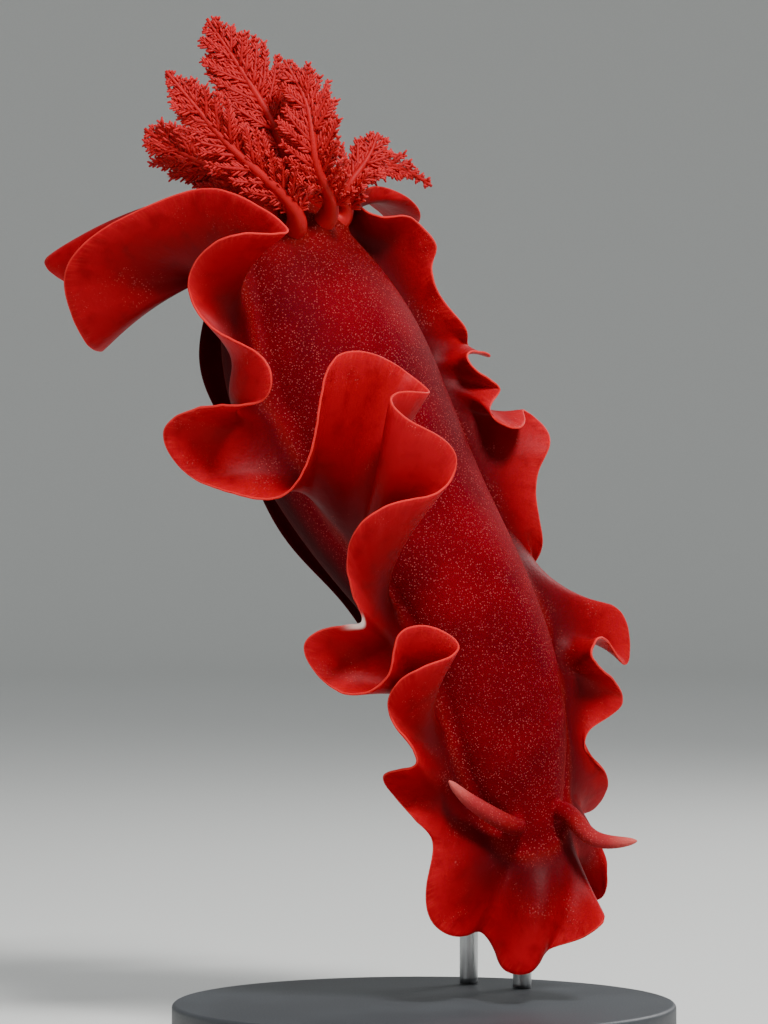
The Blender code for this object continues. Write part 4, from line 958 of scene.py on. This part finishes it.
def buildRod(r):        # a round bar bent from the base up to a flared pad under the sole
    station = np.float64(r["station"])
    angle = np.float64(180.0)
    bar = rodSizes
    _, _, normal = skinAxes(station, angle)
    start = skinAt(station, angle, seam * 2 + foot["thick"] + 0.1)
    end = np.array([r["heel"][0], board["thick"] + seam, r["heel"][1]])
    marks = np.array([start, start + normal * bar["leave"], np.array(r["knee"]),
                      end + np.array([0.0, bar["stand"], 0.0]), end])
    path = smoothCurve(runningLength(marks), marks)
    reach = runningLength(marks)[-1]
    circle = np.arange(bar["sides"]) * 2.0 * math.pi / bar["sides"]
    wide = unit(np.cross(normal, np.array([1.0, 0.0, 0.0])))
    rings = []
    front, rear, neck = bar["padEnds"]
    flare = [(0.0, bar["pad"] - 0.4), (front, bar["pad"]), (rear, bar["pad"]),
             (neck, bar["pad"] - bar["padEase"])]
    for k in (0.2, 0.4, 0.6, 0.8, 1.0):        # the pad narrows into the bar
        flare.append((neck + (bar["neckEnd"] - neck) * k,
                      bar["radius"] + (bar["pad"] - bar["padEase"] - bar["radius"]) * (1 - k) ** 2))
    for share, radius in flare + [(s, bar["radius"]) for s in np.linspace(0.04, 1.0, 90)]:
        if share < bar["neckEnd"]:
            heading = normal
            here = start + normal * share * reach
        elif share == 1.0:
            heading = np.array([0.0, -1.0, 0.0])
            here = end
        else:
            heading = unit(path(min(share + 0.005, 1.0) * reach) - path((share - 0.005) * reach))
            here = path(share * reach)
        wide = unit(wide - heading * np.dot(wide, heading))
        thick = np.cross(heading, wide)
        rings.append(ringOf(here, wide, thick, circle, radius, radius))
    points, faces = tube(rings)
    return meshObject(r["name"] + "_bar", points, faces)


def mouldedBoard():
    # moulded plastic, finely grained: an even matt charcoal whose grain breaks up highlights
    m, tree, place = newMaterial("grained moulded plastic")
    grain = addNode(tree, "TexNoise", {"Vector": place, "Scale": perMetre(0.6), "Detail": 3.0})
    cloud = addNode(tree, "TexNoise", {"Vector": place, "Scale": perMetre(40.0), "Detail": 3.0})
    shade = addNode(tree, "MapRange", {"Value": cloud, "From Min": 0.35, "From Max": 0.65}, smooth)
    colour = addNode(tree, "Mix", {0: shade, 6: "#303236", 7: "#373a3e"}, mixed)
    bump = addNode(tree, "Bump", {"Strength": 0.25, "Distance": 0.0001, "Height": grain})
    rough = addNode(tree, "MapRange", {"Value": grain, "To Min": 0.4, "To Max": 0.6})
    shader = addNode(tree, "BsdfPrincipled",
                     {"Base Color": colour, "Roughness": rough, "Normal": bump, "IOR": 1.49})
    addNode(tree, "OutputMaterial", {"Surface": shader})
    return m


def brushedSteel():
    # stainless bar brushed along its length: long soft highlights broken by fine scratches
    m, tree, place = newMaterial("brushed stainless steel")
    lengthwise = addNode(tree, "Mapping", {"Vector": place, "Scale": (1.0, 1.0, 0.04)})
    scratches = addNode(tree, "TexNoise", {"Vector": lengthwise, "Scale": perMetre(0.35), "Detail": 3.0})
    colour = addNode(tree, "ValToRGB", {"Fac": scratches}, stops=((0.3, "#b4b5b6"), (0.7, "#c6c7c8")))
    bump = addNode(tree, "Bump", {"Strength": 0.15, "Distance": 0.00005, "Height": scratches})
    rough = addNode(tree, "MapRange", {"Value": scratches, "To Min": 0.2, "To Max": 0.46})
    shader = addNode(tree, "BsdfPrincipled",
                     {"Base Color": colour, "Roughness": rough, "Normal": bump, "Metallic": 1.0})
    addNode(tree, "OutputMaterial", {"Surface": shader})
    return m


def finish(piece, look, slot, *nodes):        # the last steps that every piece shares
    piece.data.materials.clear()
    piece.data.materials.append(look)
    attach(piece, "root")
    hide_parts(*nodes)


print("making the skin")
skin = buildSkin()
fleshStarts = ("body_", "mantle_", "foot_", "oral_", "rhinophore_")
fleshNodes = sorted(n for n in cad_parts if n.startswith(fleshStarts))
finish(skin, livingSkin(), "mantle_flesh", "head", "mouth", *fleshNodes)

print("making the gills")
gillLook = gillFlesh()
for index, row in enumerate(gills["rows"]):
    finish(buildGill(row, random.Random(31 + index)), gillLook, "gill_flesh", row[0])

print("making the stand")
finish(buildBoard(board), mouldedBoard(), "stand_board", "stand_base")
steel = brushedSteel()
for r in rods:
    finish(buildRod(r), steel, "stand_metal", r["name"])

# Floor, lights and camera

studio = {
    "paper": "#d0d0cc", "sky": "#e8eef4", "skyPower": 0.5,
    "floorRadius": 3.4, "bend": 1.2, "wall": 3.2,        # a round sweep of pale paper, metres
    "around": 96, "bendSteps": 18,
    "lamps": (        # place, size in metres, watts
        ((0.42, -0.95, 1.35), 0.32, 40.0),
        ((-0.95, -0.95, 0.6), 0.7, 3.0),
        ((0.8, 0.9, 0.8), 0.5, 9.0),
    ),
    "aim": (-0.01, 0.0, 0.17),
    "cameraDistance": 1.5, "frameHeight": 1024 / 3000, "sensor": 36.0,
}


def buildFloor():        # a flat floor whose paper curves up into a wall all round
    s = studio
    profile = [(s["floorRadius"], 0.0)]
    for k in range(1, s["bendSteps"] + 1):
        a = k * math.pi / 2.0 / s["bendSteps"]
        profile.append((s["floorRadius"] + s["bend"] * math.sin(a), s["bend"] * (1 - math.cos(a))))
    profile.append((s["floorRadius"] + s["bend"], s["wall"]))
    points = []
    for radius, up in profile:
        for k in range(s["around"]):
            a = k * 2.0 * math.pi / s["around"]
            points.append((radius * math.cos(a), radius * math.sin(a), up))
    faces = [tuple(range(s["around"]))]
    for r in range(len(profile) - 1):
        for k in range(s["around"]):
            a = r * s["around"] + k
            b = r * s["around"] + (k + 1) % s["around"]
            faces.append((a, a + s["around"], b + s["around"], b))
    mesh = bpy.data.meshes.new("floor_sweep")
    mesh.from_pydata(points, [], faces)
    mesh.shade_smooth()
    piece = bpy.data.objects.new("floor_sweep", mesh)
    bpy.context.scene.collection.objects.link(piece)
    m, tree, place = newMaterial("pale paper sweep")
    fibre = addNode(tree, "TexNoise", {"Vector": place, "Scale": perMetre(1.5), "Detail": 4.0})
    colour = addNode(tree, "Mix", {0: fibre, 6: s["paper"], 7: "#dadad6"}, mixed)
    shader = addNode(tree, "BsdfPrincipled", {"Base Color": colour, "Roughness": 0.85})
    addNode(tree, "OutputMaterial", {"Surface": shader})
    mesh.materials.append(m)


print("making the floor and the lights")
buildFloor()
aim = Vector(studio["aim"])
for n, (spot, size, watts) in enumerate(studio["lamps"]):
    lamp = bpy.data.lights.new(f"lamp{n}", "AREA")
    lamp.size = size
    lamp.energy = watts
    holder = bpy.data.objects.new(f"lamp{n}", lamp)
    holder.location = spot
    holder.rotation_euler = (aim - Vector(spot)).to_track_quat("-Z", "Y").to_euler()
    bpy.context.scene.collection.objects.link(holder)
sky = bpy.data.worlds.new("studio")
sky.use_nodes = True
sky.node_tree.nodes["Background"].inputs["Color"].default_value = linear(studio["sky"])
sky.node_tree.nodes["Background"].inputs["Strength"].default_value = studio["skyPower"]
bpy.context.scene.world = sky

lens = bpy.data.cameras.new("camera")
lens.sensor_fit = "VERTICAL"
lens.sensor_height = studio["sensor"]
lens.lens = studio["sensor"] * studio["cameraDistance"] / studio["frameHeight"]
lens.clip_start = 0.05
lens.clip_end = 30.0
camera = bpy.data.objects.new("camera", lens)
camera.location = ((stage["sightAcross"] - stage["standAcross"]) / 1000, -studio["cameraDistance"],
                   stage["sightUp"] / 1000)
camera.rotation_euler = (math.radians(90), 0.0, 0.0)
bpy.context.scene.collection.objects.link(camera)
bpy.context.scene.camera = camera
